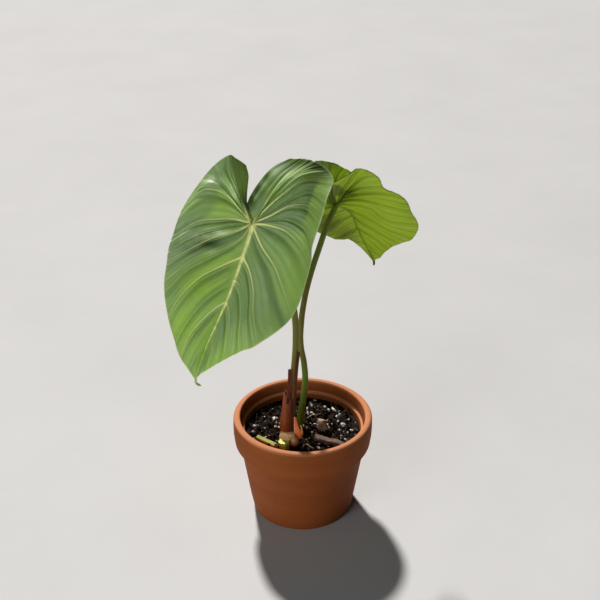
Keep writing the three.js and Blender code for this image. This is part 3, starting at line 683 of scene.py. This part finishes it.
def patchAt(patches, places):
    # the amount of some soft areas at each point
    amount = np.zeros(len(places))
    for across, up, wide, high, most in patches:
        away = ((places[:, 0] - across) / wide) ** 2 + ((places[:, 1] - up) / high) ** 2
        amount = np.maximum(amount, most * np.exp(-0.7 * away))
    return amount


def leafFace(name, look):
    # one face of a leaf: green in soft areas with paler or darker veins, and some light coming through
    finish = Finish(name)
    names = ("reach", "tone", "along", "rib", "margin", "shade", "sheen", "paintedGlow", "pale", "edge")
    reach, tone, along, rib, margin, shade, sheen, paintedGlow, pale, edge = map(finish.kept, names)
    clouds = finish.grain(45, 4, 0.55)
    mottle = finish.grain(160, 4, 0.6)
    cells = finish.grain(900, 3, 0.6)
    stripes = finish.wave(rib * 31.4 + clouds * 7)
    folds = finish.wave(rib * 12.6 + clouds * 4)
    finish.cloudy(clouds, look["base"], look["light"])
    # painted sheen of reflected light
    finish.tint(sheen * look["sheenShare"], look["sheen"])
    # painted glow of light shining through the leaf
    finish.tint(paintedGlow * (0.55 + clouds * 0.6), look["paintedGlow"])
    # painted shade in the folds
    finish.tint((folds * 0.5 + 0.5) * look["foldShare"], look["shade"])
    finish.tint((stripes * 0.5 + 0.5) * look["stripeShare"], look["stripe"])
    finish.patch(mottle, 0.5, 0.8, 0.25, look["shade"])
    # painted shade where the shade patches lie
    finish.tint(shade * 0.85, look["shade"])
    # painted highlights where the pale patches lie
    finish.tint(pale * finish.rise(mottle, 0.25, 0.6), look["pale"])
    vein = (1 - finish.rise(reach, 0.45, 1.3)) * finish.rise(tone, 0.0, 0.7)
    halo = (1 - finish.rise(reach, 0.8, look["haloReach"])) * tone * look["halo"]
    finish.tint(halo, look["vein"])
    finish.tint(vein * (1 - along * 0.65), look["vein"])
    hem = 1 - finish.rise(margin, *leafForm["hem"])
    finish.tint(hem * look["hemShare"], look["hem"])
    # painted rim light along the margin where the edge patches lie
    litBorder = edge * (1 - finish.rise(margin, *leafForm["litBorder"]))
    finish.tint(litBorder, look["litBorder"])
    height = stripes * 0.3 + folds * 0.8 + cells * 0.25 + mottle * 0.8
    roughness = look["roughness"] + cells * 0.12 + vein * 0.1 + shade * 0.35
    skin = finish.skin(roughness, height, 0.25, gloss=look["gloss"], ior=1.4)
    glow = finish.add("BsdfTranslucent", None, {"Color": look["glow"]})
    share = look["through"] * (1 - vein * look["veinBlocks"]) * (1 - shade * look["shadeBlocks"])
    mixed = finish.add("MixShader", None, {0: share, 1: skin, 2: glow})
    return finish.show(mixed)


frontUpper = {
    "base": (0.23, 0.36, 0.18), "light": (0.28, 0.42, 0.22), "paintedGlow": (0.28, 0.46, 0.05),
    "sheen": (0.34, 0.43, 0.33), "sheenShare": 0.85, "shade": (0.05, 0.1, 0.012), "foldShare": 0.25,
    "stripe": (0.38, 0.52, 0.32), "stripeShare": 0.2, "pale": (0.8, 0.86, 0.7),
    "vein": (0.92, 1.0, 0.38), "halo": 0.12, "haloReach": 3.0, "hem": (0.75, 0.85, 0.5),
    "litBorder": (0.85, 0.95, 0.75), "hemShare": 0.85, "roughness": 0.45, "gloss": 0.35,
    "through": 0.38, "glow": (0.7, 0.92, 0.24), "shadeBlocks": 0.9, "veinBlocks": 0.9,
}
frontUnder = dict(frontUpper, base=(0.2, 0.32, 0.1), light=(0.26, 0.4, 0.13), roughness=0.55,
                  pale=(0.3, 0.42, 0.2), vein=(0.5, 0.62, 0.2), litBorder=(0.32, 0.46, 0.18), halo=0.12)
backUnder = {
    "base": (0.2, 0.29, 0.02), "light": (0.27, 0.37, 0.03), "paintedGlow": (0.22, 0.33, 0.01),
    "sheen": (0.4, 0.48, 0.26), "sheenShare": 0.85, "shade": (0.07, 0.08, 0.01), "foldShare": 0.65,
    "stripe": (0.52, 0.6, 0.16), "stripeShare": 0.45, "pale": (0.7, 0.6, 0.45),
    "vein": (0.085, 0.15, 0.008), "halo": 0.25, "haloReach": 3.0, "hem": (0.05, 0.08, 0.01),
    "litBorder": (0.05, 0.08, 0.01), "hemShare": 0.6, "roughness": 0.5, "gloss": 0.4,
    "through": 0.45, "glow": (0.55, 0.69, 0.012), "shadeBlocks": 0.65, "veinBlocks": 0.35,
}
backUpper = dict(backUnder, base=(0.14, 0.28, 0.03), light=(0.2, 0.36, 0.04), halo=0.2, roughness=0.42,
                 vein=(0.4, 0.5, 0.15))


def hemFinish(name, colour):
    finish = Finish(name)
    finish.ground(finish.grain(300), colour, darker(colour, 0.8))
    return finish.done(0.5, finish.grain(900), 0.05)


def makeBlade(name, blade, node, upperFacesViewer, finishes):
    ribCount = len(blade["starts"]) - 1
    rows = ribCount * leafForm["perRib"]
    columns = leafForm["across"]
    piece = grid(name, 2 * columns, rows)
    mesh = piece.data
    flat = readValues(mesh.vertices, "co", 3)
    count = len(flat)
    ribs = np.round((1 - flat[:, 1]) / 2 * rows).astype(int)
    steps = np.round(flat[:, 0] * columns).astype(int)
    places = np.zeros((count, 3))
    kept = {key: np.zeros(count) for key in ("reach", "tone", "middle", "along", "rib", "margin")}
    along = (np.arange(columns + 1) / columns) ** 1.25
    for side in (-1, 1):
        for row in range(rows + 1):
            rib = row / leafForm["perRib"]
            line = bladeRow(blade, side, rib, along)
            found = dict(zip(("reach", "tone", "middle"), veinReach(blade, side, rib, along, line)))
            found.update(along=along, margin=norm(line[-1] - line, axis=1))
            here = np.where((ribs == row) & (steps * side >= 0))[0]
            step = np.abs(steps[here])
            places[here] = line[step]
            kept["rib"][here] = rib
            for key, values in found.items():
                kept[key][here] = values[step]
    # the amounts of painted light and shade at each point
    for key in ("paintedGlow", "sheen", "shade", "pale", "edge"):
        kept[key] = patchAt(blade[key], places)
    lean = radians(leafForm["lean"])
    across, up, lift = places.T
    join = blade["join"]
    world = np.stack([
        potAxis.x + (join[0] + across) * mm,
        potAxis.y + (join[1] + up * sin(lean) - lift * cos(lean)) * mm,
        (join[2] + up * cos(lean) + lift * sin(lean)) * mm,
    ], axis=1)
    mesh.vertices.foreach_set("co", world.ravel())
    for key, values in kept.items():
        keepValues(mesh, key, values)
    enterEdit()
    if not upperFacesViewer:
        bpy.ops.mesh.flip_normals()
    bpy.ops.mesh.remove_doubles(threshold=leafForm["merge"] * mm)
    leaveEdit()
    count = len(mesh.vertices)
    solid = thicken(piece, leafForm["thickness"], -1)
    solid.material_offset = 1
    solid.material_offset_rim = 2
    for finish in finishes:
        mesh.materials.append(finish)
    outward = readValues(mesh.vertex_normals, "vector", 3)
    applyModifiers(piece)
    raiseVeins(piece.data, count, outward)
    dress(piece, [], [node], 60)
    print(name, "made")


def raiseVeins(mesh, count, outward):
    # grooves on the upper face and ridges on the underside, which is the second half of the points
    names = ("reach", "tone", "middle", "along", "rib")
    values = [readValues(mesh.attributes[key].data, "value")[:count] for key in names]
    reach, tone, middle, along, rib = values
    place = readValues(mesh.vertices, "co", 3)
    near = np.exp(-(reach**2)) * tone
    toTip = 1 - rib / rib.max()
    nearMidrib = np.exp(-(middle**2) * 0.6) * toTip
    fading = 1 - along
    place[:count] -= outward * (near * leafForm["groove"] * fading)[:, None] * mm
    ridge = np.maximum(near * leafForm["veinRidge"] * fading, nearMidrib * leafForm["midribRidge"])
    place[count:2 * count] -= outward * ridge[:, None] * mm
    mesh.vertices.foreach_set("co", place.ravel())


def makeLeaves():
    hemA = hemFinish("front_leaf_hem", (0.5, 0.62, 0.28))
    hemB = hemFinish("back_leaf_hem", (0.12, 0.17, 0.03))
    finishes = [leafFace("front_leaf_upper", frontUpper), leafFace("front_leaf_under", frontUnder), hemA]
    makeBlade("front_leaf", bladeA, "leaf_a", True, finishes)
    finishes = [leafFace("back_leaf_upper", backUpper), leafFace("back_leaf_under", backUnder), hemB]
    makeBlade("back_leaf", bladeB, "leaf_b", False, finishes)


# Stems

stemA = {
    "radii": [3.2, 2.75, 2.4],
    "path": [[-12, -18.5, 78], [-11, -17.5, 92], [-9.4, -16.5, 106], [-8.2, -16, 118], [-7.2, -15, 144],
             [-5.7, -14, 172], [-6.4, -14, 196], [-10.5, -17.5, 222], [-18, -25, 250], [-27, -34.5, 274],
             [-34, -43, 288], [-37.4, -49, 294.8]],
}
stemB = {
    "radii": [3.4, 2.8, 2.3],
    "path": [[-3.9, 2.9, 66], [-2.8, 4, 77], [-1, 5.3, 91], [1, 6.1, 107], [2.2, 6.2, 122], [1.2, 6, 139],
             [-1.6, 5.9, 158], [-1.4, 6.6, 176], [0.8, 10.5, 195], [5.8, 16, 217], [13.3, 22.5, 240],
             [20.6, 29, 260], [26.9, 34, 273]],
}


def stemFinish(name, tones, streak):
    # tones are pairs of a height and the colour there, from the foot up
    finish = Finish(name)
    height = finish.height()
    streaks = finish.grain(420, 3, 0.6, (1, 1, 0.05))
    bands = finish.grain(900, 3, 0.5, (1, 1, 0.03))
    fleck = finish.grain(1600, 2, 0.6, (1, 1, 0.35))
    finish.colour = tones[0][1]
    course = height + streaks * 0.012 - 6 * mm
    for (low, _), (high, tone) in zip(tones, tones[1:]):
        finish.tint(finish.rise(course, low * mm, high * mm), tone)
    finish.patch(streaks, 0.5, 0.75, 0.5, streak)
    finish.patch(bands, 0.6, 0.75, 0.15, (0.18, 0.27, 0.04))
    finish.patch(fleck, 0.66, 0.75, 0.1, (0.18, 0.26, 0.06))
    return finish.done(0.4 + fleck * 0.15, streaks * 2 + bands + fleck * 0.4, 0.3, soft=0.05, gloss=0.25)


def pathPiece(name, path, radii, roundness=6):
    # a tapering round stem along a path, made as a curve and turned into a mesh
    clearSelection()
    bpy.ops.curve.primitive_bezier_curve_add(location=(0, 0, 0))
    line = bpy.context.active_object
    line.data.dimensions = "3D"
    spline = line.data.splines[0]
    spline.bezier_points.add(len(path) - 2)
    for point, place, radius in zip(spline.bezier_points, path, radii):
        point.co = at(*place)
        point.handle_left_type = point.handle_right_type = "AUTO"
        point.radius = radius
    line.data.bevel_depth = mm
    line.data.bevel_resolution = roundness
    line.data.resolution_u = 10
    line.data.use_fill_caps = True
    bpy.ops.object.convert(target="MESH")
    piece = takeNew(name)
    tidyMesh(piece)
    return piece


def makeStems():
    front = [(90, (0.3, 0.085, 0.012)), (112, (0.3, 0.11, 0.014)), (130, (0.08, 0.1, 0.012)),
             (200, (0.11, 0.16, 0.016))]
    back = [(80, (0.06, 0.16, 0.012)), (120, (0.07, 0.24, 0.02)), (150, (0.09, 0.14, 0.014)),
            (190, (0.08, 0.13, 0.012)), (250, (0.14, 0.22, 0.02))]
    for name, stem, node, finish in (
        ("front_stem", stemA, "petiole_a", stemFinish("front_stem", front, (0.1, 0.08, 0.012))),
        ("back_stem", stemB, "petiole_b", stemFinish("back_stem", back, (0.05, 0.08, 0.01))),
    ):
        parts = np.linspace(0, 1, len(stem["path"]))
        radii = np.interp(parts, [0, 0.25, 1], stem["radii"])
        piece = pathPiece(name, stem["path"], radii)
        roughen(piece, 14, 0.25, (1, 1, 0.25), 5)
        dress(piece, [finish], [node], 60)
    print("stems made")


# Foot of the plant: rhizome with its bud, sheath, flap and dried strips

rhizome = {
    "centre": (-12, -19.5), "sides": 72,
    "profile": [[3, 56], [5.8, 63], [7, 70], [7.3, 75], [7.9, 79], [7.95, 82], [7.6, 85], [6.6, 87.4],
                [4.8, 89], [2.4, 89.8], [0.8, 90]],
    "bud": (-7.2, -24.5, 79.5), "budRadii": (4.2, 4.4, 6.2), "budTilt": 28,
}


def rhizomeFinish():
    finish = Finish("rhizome_skin")
    height = finish.height()
    clouds = finish.grain(160, 5, 0.6)
    fibre = finish.grain(700, 3, 0.6, (1, 1, 0.2))
    bands = finish.wave(height * 1900 + clouds * 6)
    finish.cloudy(clouds, (0.55, 0.29, 0.12), (0.95, 0.66, 0.36))
    finish.patch(bands, 0.5, 1.0, 0.35, (0.26, 0.12, 0.05))
    finish.patch(fibre, 0.6, 0.75, 0.5, (0.85, 0.66, 0.4))
    finish.tint(finish.rise(height, 87.5 * mm, 90.5 * mm), (0.14, 0.045, 0.02))
    return finish.done(0.38, bands * 0.5 + fibre + clouds * 2, 0.35, soft=0.1)


def budFinish():
    finish = Finish("bud_skin")
    height = finish.height()
    clouds = finish.grain(260, 4, 0.6)
    fibre = finish.grain(700, 3, 0.6, (1, 1, 0.25))
    finish.ground(finish.rise(height, 76 * mm, 85 * mm), (0.36, 0.1, 0.05), (0.7, 0.42, 0.2))
    finish.patch(clouds, 0.4, 0.75, 0.5, (0.42, 0.15, 0.07))
    finish.patch(fibre, 0.6, 0.75, 0.4, (0.8, 0.55, 0.32))
    return finish.done(0.38, clouds + fibre, 0.3)


def makeRhizome():
    r = rhizome
    piece = drawnRings("rhizome_body", r["centre"], r["profile"], r["sides"])
    closeRings(piece, r["sides"])
    tidyMesh(piece)
    smooth = piece.modifiers.new("round", "SUBSURF")
    smooth.levels = smooth.render_levels = 2
    applyModifiers(piece)
    roughen(piece, 12, 0.4, seed=2)
    roughen(piece, 1.6, 0.25, (1, 1, 3), 6)
    dress(piece, [rhizomeFinish()], ["rhizome"], 80)

    bud = added("rhizome_bud", bpy.ops.mesh.primitive_uv_sphere_add, segments=40, ring_count=24, radius=mm,
                location=at(*r["bud"]), rotation=(radians(r["budTilt"]), 0, 0), scale=r["budRadii"])
    choose(bud)
    bpy.ops.object.transform_apply()
    roughen(bud, 2.4, 0.5, (1, 1, 0.4), 9)
    dress(bud, [budFinish()], (), 80)
    print("rhizome made")


sheath = {
    "wall": 0.9, "opening": {"back": 38, "frontFoot": 38, "frontTop": 72},
    "foot": {"height": 88.6, "centre": (-12.9, -17.2), "radii": (6.6, 6.1)},
    "top": {"heights": (116, 126), "centre": (-10.6, -16.4), "radii": (4.1, 3.9)},
    "flap": [[-6.6, -21.2, 103], [-6.1, -21.8, 97], [-4.9, -22, 90], [-3.5, -21.4, 84.5], [-2.6, -20.6, 80]],
    "stripLeft": [[-12.2, -20.9, 116], [-11.4, -20.4, 126], [-11, -20, 138], [-10.9, -19.8, 149.5]],
    "stripRight": [[-7.4, -21.3, 102], [-6.7, -20.2, 124], [-5.4, -19, 147], [-3.6, -18, 165]],
    "paleStrip": [[-1.6, -18.6, 92], [-0.9, -18.8, 88], [-0.8, -18.6, 84], [-1.4, -18.2, 80]],
}


def sheathFinish(name, dark, light, streak, rim):
    finish = Finish(name)
    fibres = finish.grain(650, 4, 0.6, (1, 1, 0.05))
    clouds = finish.grain(120, 4, 0.6, (1, 1, 0.3))
    finish.cloudy(clouds, dark, light)
    finish.patch(fibres, 0.5, 0.72, 0.6, streak)
    finish.tint(finish.rise(finish.kept("edge"), 0.7, 1.0), rim)
    return finish.done(0.45, fibres * 2 + clouds, 0.35, soft=0.05, gloss=0.2)


def sheetPiece(name, across, down, placeAt, edgeAt, wall):
    # a grid laid out by a formula of two parts from 0 to 1, and given its thickness
    piece = grid(name, across, down)
    edges = []
    for vertex in piece.data.vertices:
        u, v = (vertex.co.x + 1) / 2, (vertex.co.y + 1) / 2
        edges.append(edgeAt(u, v))
        vertex.co = at(*placeAt(u, v))
    keepValues(piece.data, "edge", edges)
    thicken(piece, wall, 0)
    applyModifiers(piece)
    tidyMesh(piece)
    return piece


def stripPlace(path, widths, twist):
    lean = np.array([1, 0.25, 0]) / hypot(1, 0.25)

    def place(u, v):
        centre = splineAt(path, v)[0]
        side = 2 * u - 1
        width = np.interp(v, np.linspace(0, 1, len(widths)), widths)
        point = centre + lean * side * width / 2
        point[1] += 0.1 * width * side * side + twist * side * sin(v * 9)
        return point
    return place


def sheathPlace(u, v):
    opening, foot, top = sheath["opening"], sheath["foot"], sheath["top"]
    front = 360 - between(opening["frontFoot"], opening["frontTop"], v)
    angle = radians(between(opening["back"], front, u))
    highest = between(*top["heights"], (1 - cos(angle)) / 2)
    ragged = 2.5 * noise.noise(Vector((angle * 3, 1.5, 0))) * v**6
    flare = 0.35 * noise.noise(Vector((angle * 1.5, v * 5, 2)))
    shiftX = between(foot["centre"][0], top["centre"][0], v**1.5)
    shiftY = between(foot["centre"][1], top["centre"][1], v)
    wide, deep = (between(low, high, v) + flare for low, high in zip(foot["radii"], top["radii"]))
    height = between(foot["height"], highest, v) + ragged
    return shiftX + wide * cos(angle), shiftY + deep * sin(angle), height


def makeSheath():
    # the brown sheath is darker towards its front edge and its ragged top; along the front edge this is
    # painted shadow
    brown = sheathFinish("sheath_skin", (0.12, 0.022, 0.006), (0.26, 0.055, 0.013), (0.06, 0.014, 0.007),
                         (0.08, 0.018, 0.006))
    red = sheathFinish("flap_skin", (0.9, 0.17, 0.05), (1.0, 0.3, 0.11), (0.8, 0.16, 0.05),
                       (0.95, 0.6, 0.4))
    pale = sheathFinish("pale_skin", (0.6, 0.35, 0.18), (0.8, 0.55, 0.32), (0.5, 0.25, 0.12),
                        (0.8, 0.55, 0.32))
    dry = sheathFinish("dried_skin", (0.012, 0.004, 0.002), (0.045, 0.013, 0.006), (0.02, 0.008, 0.004),
                       (0.06, 0.018, 0.008))
    band = sheathFinish("band_skin", (0.025, 0.007, 0.003), (0.08, 0.022, 0.007), (0.05, 0.015, 0.005),
                        (0.14, 0.04, 0.012))
    tube = sheetPiece("sheath", 96, 48, sheathPlace, lambda u, v: max(u * 1.1 - 0.1, v**10), sheath["wall"])
    dress(tube, [brown], ["sheath"], 60)
    for name, path, widths, finish, edge in (
        ("sheath_flap", "flap", [1.5, 2.4, 4.6, 4.4, 1.2], red, lambda u, v: 1 - u * 1.15),
        ("pale_strip", "paleStrip", [0.6, 1.6, 1.6, 0.6], pale, lambda u, v: 0),
        ("dried_strip_left", "stripLeft", [3.4, 3.1, 2.6], dry, lambda u, v: 1 - 2 * u),
        ("dried_strip_right", "stripRight", [2.6, 2.8, 2.6], band, lambda u, v: u * 0.8),
    ):
        strip = sheetPiece(name, 12, 40, stripPlace(sheath[path], widths, 0.2), edge, 0.8)
        dress(strip, [finish], (), 60)
    print("sheath made")


# Cut stalks, bark and roots on the mix

stub = {"from": (-14.4, -30, 66), "to": (-16, -28.4, 83.5), "radii": (3.2, 4.8)}
cutStalk = {"from": (-38.8, -17.2, 78.6), "to": (-23, -29.3, 78.6), "radii": (2.6, 2.6)}


def cutFinish(name, skin, core):
    finish = Finish(name)
    end = finish.kept("end")
    fibre = finish.grain(1100, 4, 0.65)
    clouds = finish.grain(200, 4, 0.6)
    side = finish.blend(finish.rise(clouds, 0.3, 0.7), skin, darker(skin, 0.6))
    cut = finish.blend(finish.rise(fibre, 0.35, 0.65), darker(core, 0.55), core)
    finish.ground(finish.rise(end, 0.4, 0.7), side, cut)
    return finish.done(0.5, fibre * 2 + clouds, 0.4, soft=0.1)


def stalkPiece(name, stalk, ragged):
    # a round stalk, fluted along its length, with its far end cut off raggedly
    start, end = at(*stalk["from"]), at(*stalk["to"])
    run = end - start
    foot, tip = (radius * mm for radius in stalk["radii"])
    piece = added(name, bpy.ops.mesh.primitive_cone_add, vertices=48, radius1=foot, radius2=tip,
                  depth=run.length, location=(start + end) / 2,
                  rotation=run.to_track_quat("Z", "Y").to_euler())
    enterEdit()
    bpy.ops.mesh.inset(thickness=0.5 * mm, use_individual=False)
    leaveEdit()
    bpy.ops.object.transform_apply()
    tidyMesh(piece)
    mesh = piece.data
    ends = []
    for vertex in mesh.vertices:
        part = (vertex.co - start).dot(run) / run.length_squared
        aside = vertex.co - start - run * part
        flute = noise.noise(aside / (1.3 * mm) + Vector((3, 5, 0)))
        ends.append(max(0, 1 - aside.length / (tip * 0.97)) if part > 0.99 else 0)
        vertex.co += aside * 0.16 * flute
        if part > 0.5:
            vertex.co += run.normalized() * flute * ragged * mm
    keepValues(mesh, "end", ends)
    return piece


def makeStalks():
    green = cutFinish("stub_flesh", (0.72, 0.82, 0.2), (0.72, 0.78, 0.55))
    yellow = cutFinish("stalk_flesh", (0.42, 0.38, 0.03), (0.55, 0.42, 0.14))
    dress(stalkPiece("cut_stub", stub, 1.6), [green], ["stalk_stub"], 50)
    dress(stalkPiece("cut_stalk_piece", cutStalk, 0.8), [yellow], ["cut_stalk"], 50)
    print("stalks made")


chips = [
    {"name": "bark_chip_short", "node": "bark_chip",
     "centre": (17, -1.5, 80.5), "size": (8, 5, 13), "turn": 20, "tilt": -20},
    {"name": "bark_chip_lying", "node": "bark_chip_long",
     "centre": (22.4, -21, 78), "size": (25, 7, 4.2), "turn": -16, "tilt": 5},
]


def barkFinish(name, dark, light, pale):
    finish = Finish(name)
    layers = finish.grain(380, 5, 0.65, (0.35, 1, 2.2), 0.8)
    clouds = finish.grain(150, 4, 0.6)
    finish.cloudy(layers, dark, light)
    finish.patch(clouds, 0.45, 0.8, 0.6, pale)
    return finish.done(0.8, layers * 3, 0.7)


def makeChips():
    short = barkFinish("bark_short", (0.16, 0.1, 0.07), (0.42, 0.3, 0.22), (0.62, 0.48, 0.36))
    lying = barkFinish("bark_lying", (0.04, 0.02, 0.013), (0.17, 0.095, 0.065), (0.22, 0.14, 0.1))
    for chip, finish in zip(chips, (short, lying)):
        turn = (0, radians(chip["tilt"]), radians(chip["turn"]))
        piece = added(chip["name"], bpy.ops.mesh.primitive_cube_add, size=mm, location=at(*chip["centre"]),
                      rotation=turn, scale=chip["size"])
        enterEdit()
        bpy.ops.mesh.bevel(offset=0.9 * mm, segments=2, affect="EDGES")
        bpy.ops.mesh.subdivide(number_cuts=5)
        leaveEdit()
        bpy.ops.object.transform_apply(location=False, rotation=False, scale=True)
        half = Vector(chip["size"]) / 2 * mm
        for vertex in piece.data.vertices:
            narrow = 1 - 0.35 * (vertex.co.x / half.x) ** 2
            vertex.co.y *= narrow
            vertex.co.z *= narrow
        bpy.ops.object.transform_apply()
        tidyMesh(piece)
        roughen(piece, 5, 1.6, seed=4)
        roughen(piece, 1.5, 0.6, (0.4, 1, 2), 8)
        dress(piece, [finish], [chip["node"]], 35)
    print("bark made")


roots = [
    {"name": "root_straw", "node": "root_fibre", "radius": 0.6,
     "path": [[4, 12.5, 78.4], [8, 16, 79.4], [12, 17.5, 79], [16, 20.5, 78.2]]},
    {"name": "root_curled", "node": "root_curl", "radius": 0.6,
     "path": [[-0.5, -31.5, 77.6], [1, -28.5, 79.2], [4, -28, 79.4], [6.5, -30.5, 78.8], [9.5, -31.5, 77.8]]},
]


def makeRoots():
    finish = crumbFinish("root_skin", (0.16, 0.1, 0.06), (0.42, 0.32, 0.2))
    for root in roots:
        radii = [root["radius"] * share for share in np.linspace(1, 0.6, len(root["path"]))]
        piece = pathPiece(root["name"], root["path"], radii, 3)
        roughen(piece, 1.2, 0.25, seed=1)
        dress(piece, [finish], [root["node"]], 60)
    print("roots made")


# Floor, light and camera

studio = {
    "sunFrom": (-26.5, 92, 91.6), "sunPower": 6.3, "sunAngle": 5, "sunColour": (1.0, 0.96, 0.9),
    "sky": (1.0, 0.96, 0.92), "skyPower": 0.025,
    "fillPlace": (-1.05, -1.4, 0.58), "fillPower": 16.5, "fillSize": 1.0, "fillColour": (1.0, 0.98, 0.96),
    "cameraPlace": (-2.3, -827.2, 654), "cameraPitch": 28.55, "lens": 69, "sensor": 36,
    "floorSize": 12, "floorDrop": 0.05,
}


def lamp(name, kind, place, run):
    light = added(name, bpy.ops.object.light_add, type=kind, location=place)
    light.rotation_euler = run.to_track_quat("-Z", "Y").to_euler()
    light.data.energy = studio[name + "Power"]
    light.data.color = studio[name + "Colour"]
    return light.data


def makeStudio():
    finish = Finish("floor")
    clouds = finish.grain(6, 5, 0.6)
    finish.ground(clouds, (0.39, 0.395, 0.41), (0.46, 0.465, 0.48))
    floorFinish = finish.done(0.85, finish.grain(400, 3), 0.1)
    plane = added("floor", bpy.ops.mesh.primitive_plane_add, size=studio["floorSize"],
                  location=(0, 0, -studio["floorDrop"] * mm))
    plane.data.materials.append(floorFinish)

    sun = lamp("sun", "SUN", Vector((0, 0, 2)), -Vector(studio["sunFrom"]))
    sun.angle = radians(studio["sunAngle"])
    place = Vector(studio["fillPlace"])
    fill = lamp("fill", "AREA", place, Vector((0, 0, 0.2)) - place)
    fill.size = studio["fillSize"]

    world = bpy.data.worlds.new("studio")
    bpy.context.scene.world = world
    world.use_nodes = True
    background = world.node_tree.nodes["Background"]
    background.inputs["Color"].default_value = (*studio["sky"], 1)
    background.inputs["Strength"].default_value = studio["skyPower"]

    pitch = radians(90 - studio["cameraPitch"])
    camera = added("camera", bpy.ops.object.camera_add, location=at(*studio["cameraPlace"]),
                   rotation=(pitch, 0, 0))
    camera.data.lens = studio["lens"]
    camera.data.sensor_width = studio["sensor"]
    bpy.context.scene.camera = camera
    bpy.context.scene.view_settings.view_transform = "Standard"
    print("studio made")


makeStudio()
makePot()
makeMix()
makeLeaves()
makeStems()
makeRhizome()
makeSheath()
makeStalks()
makeChips()
makeRoots()
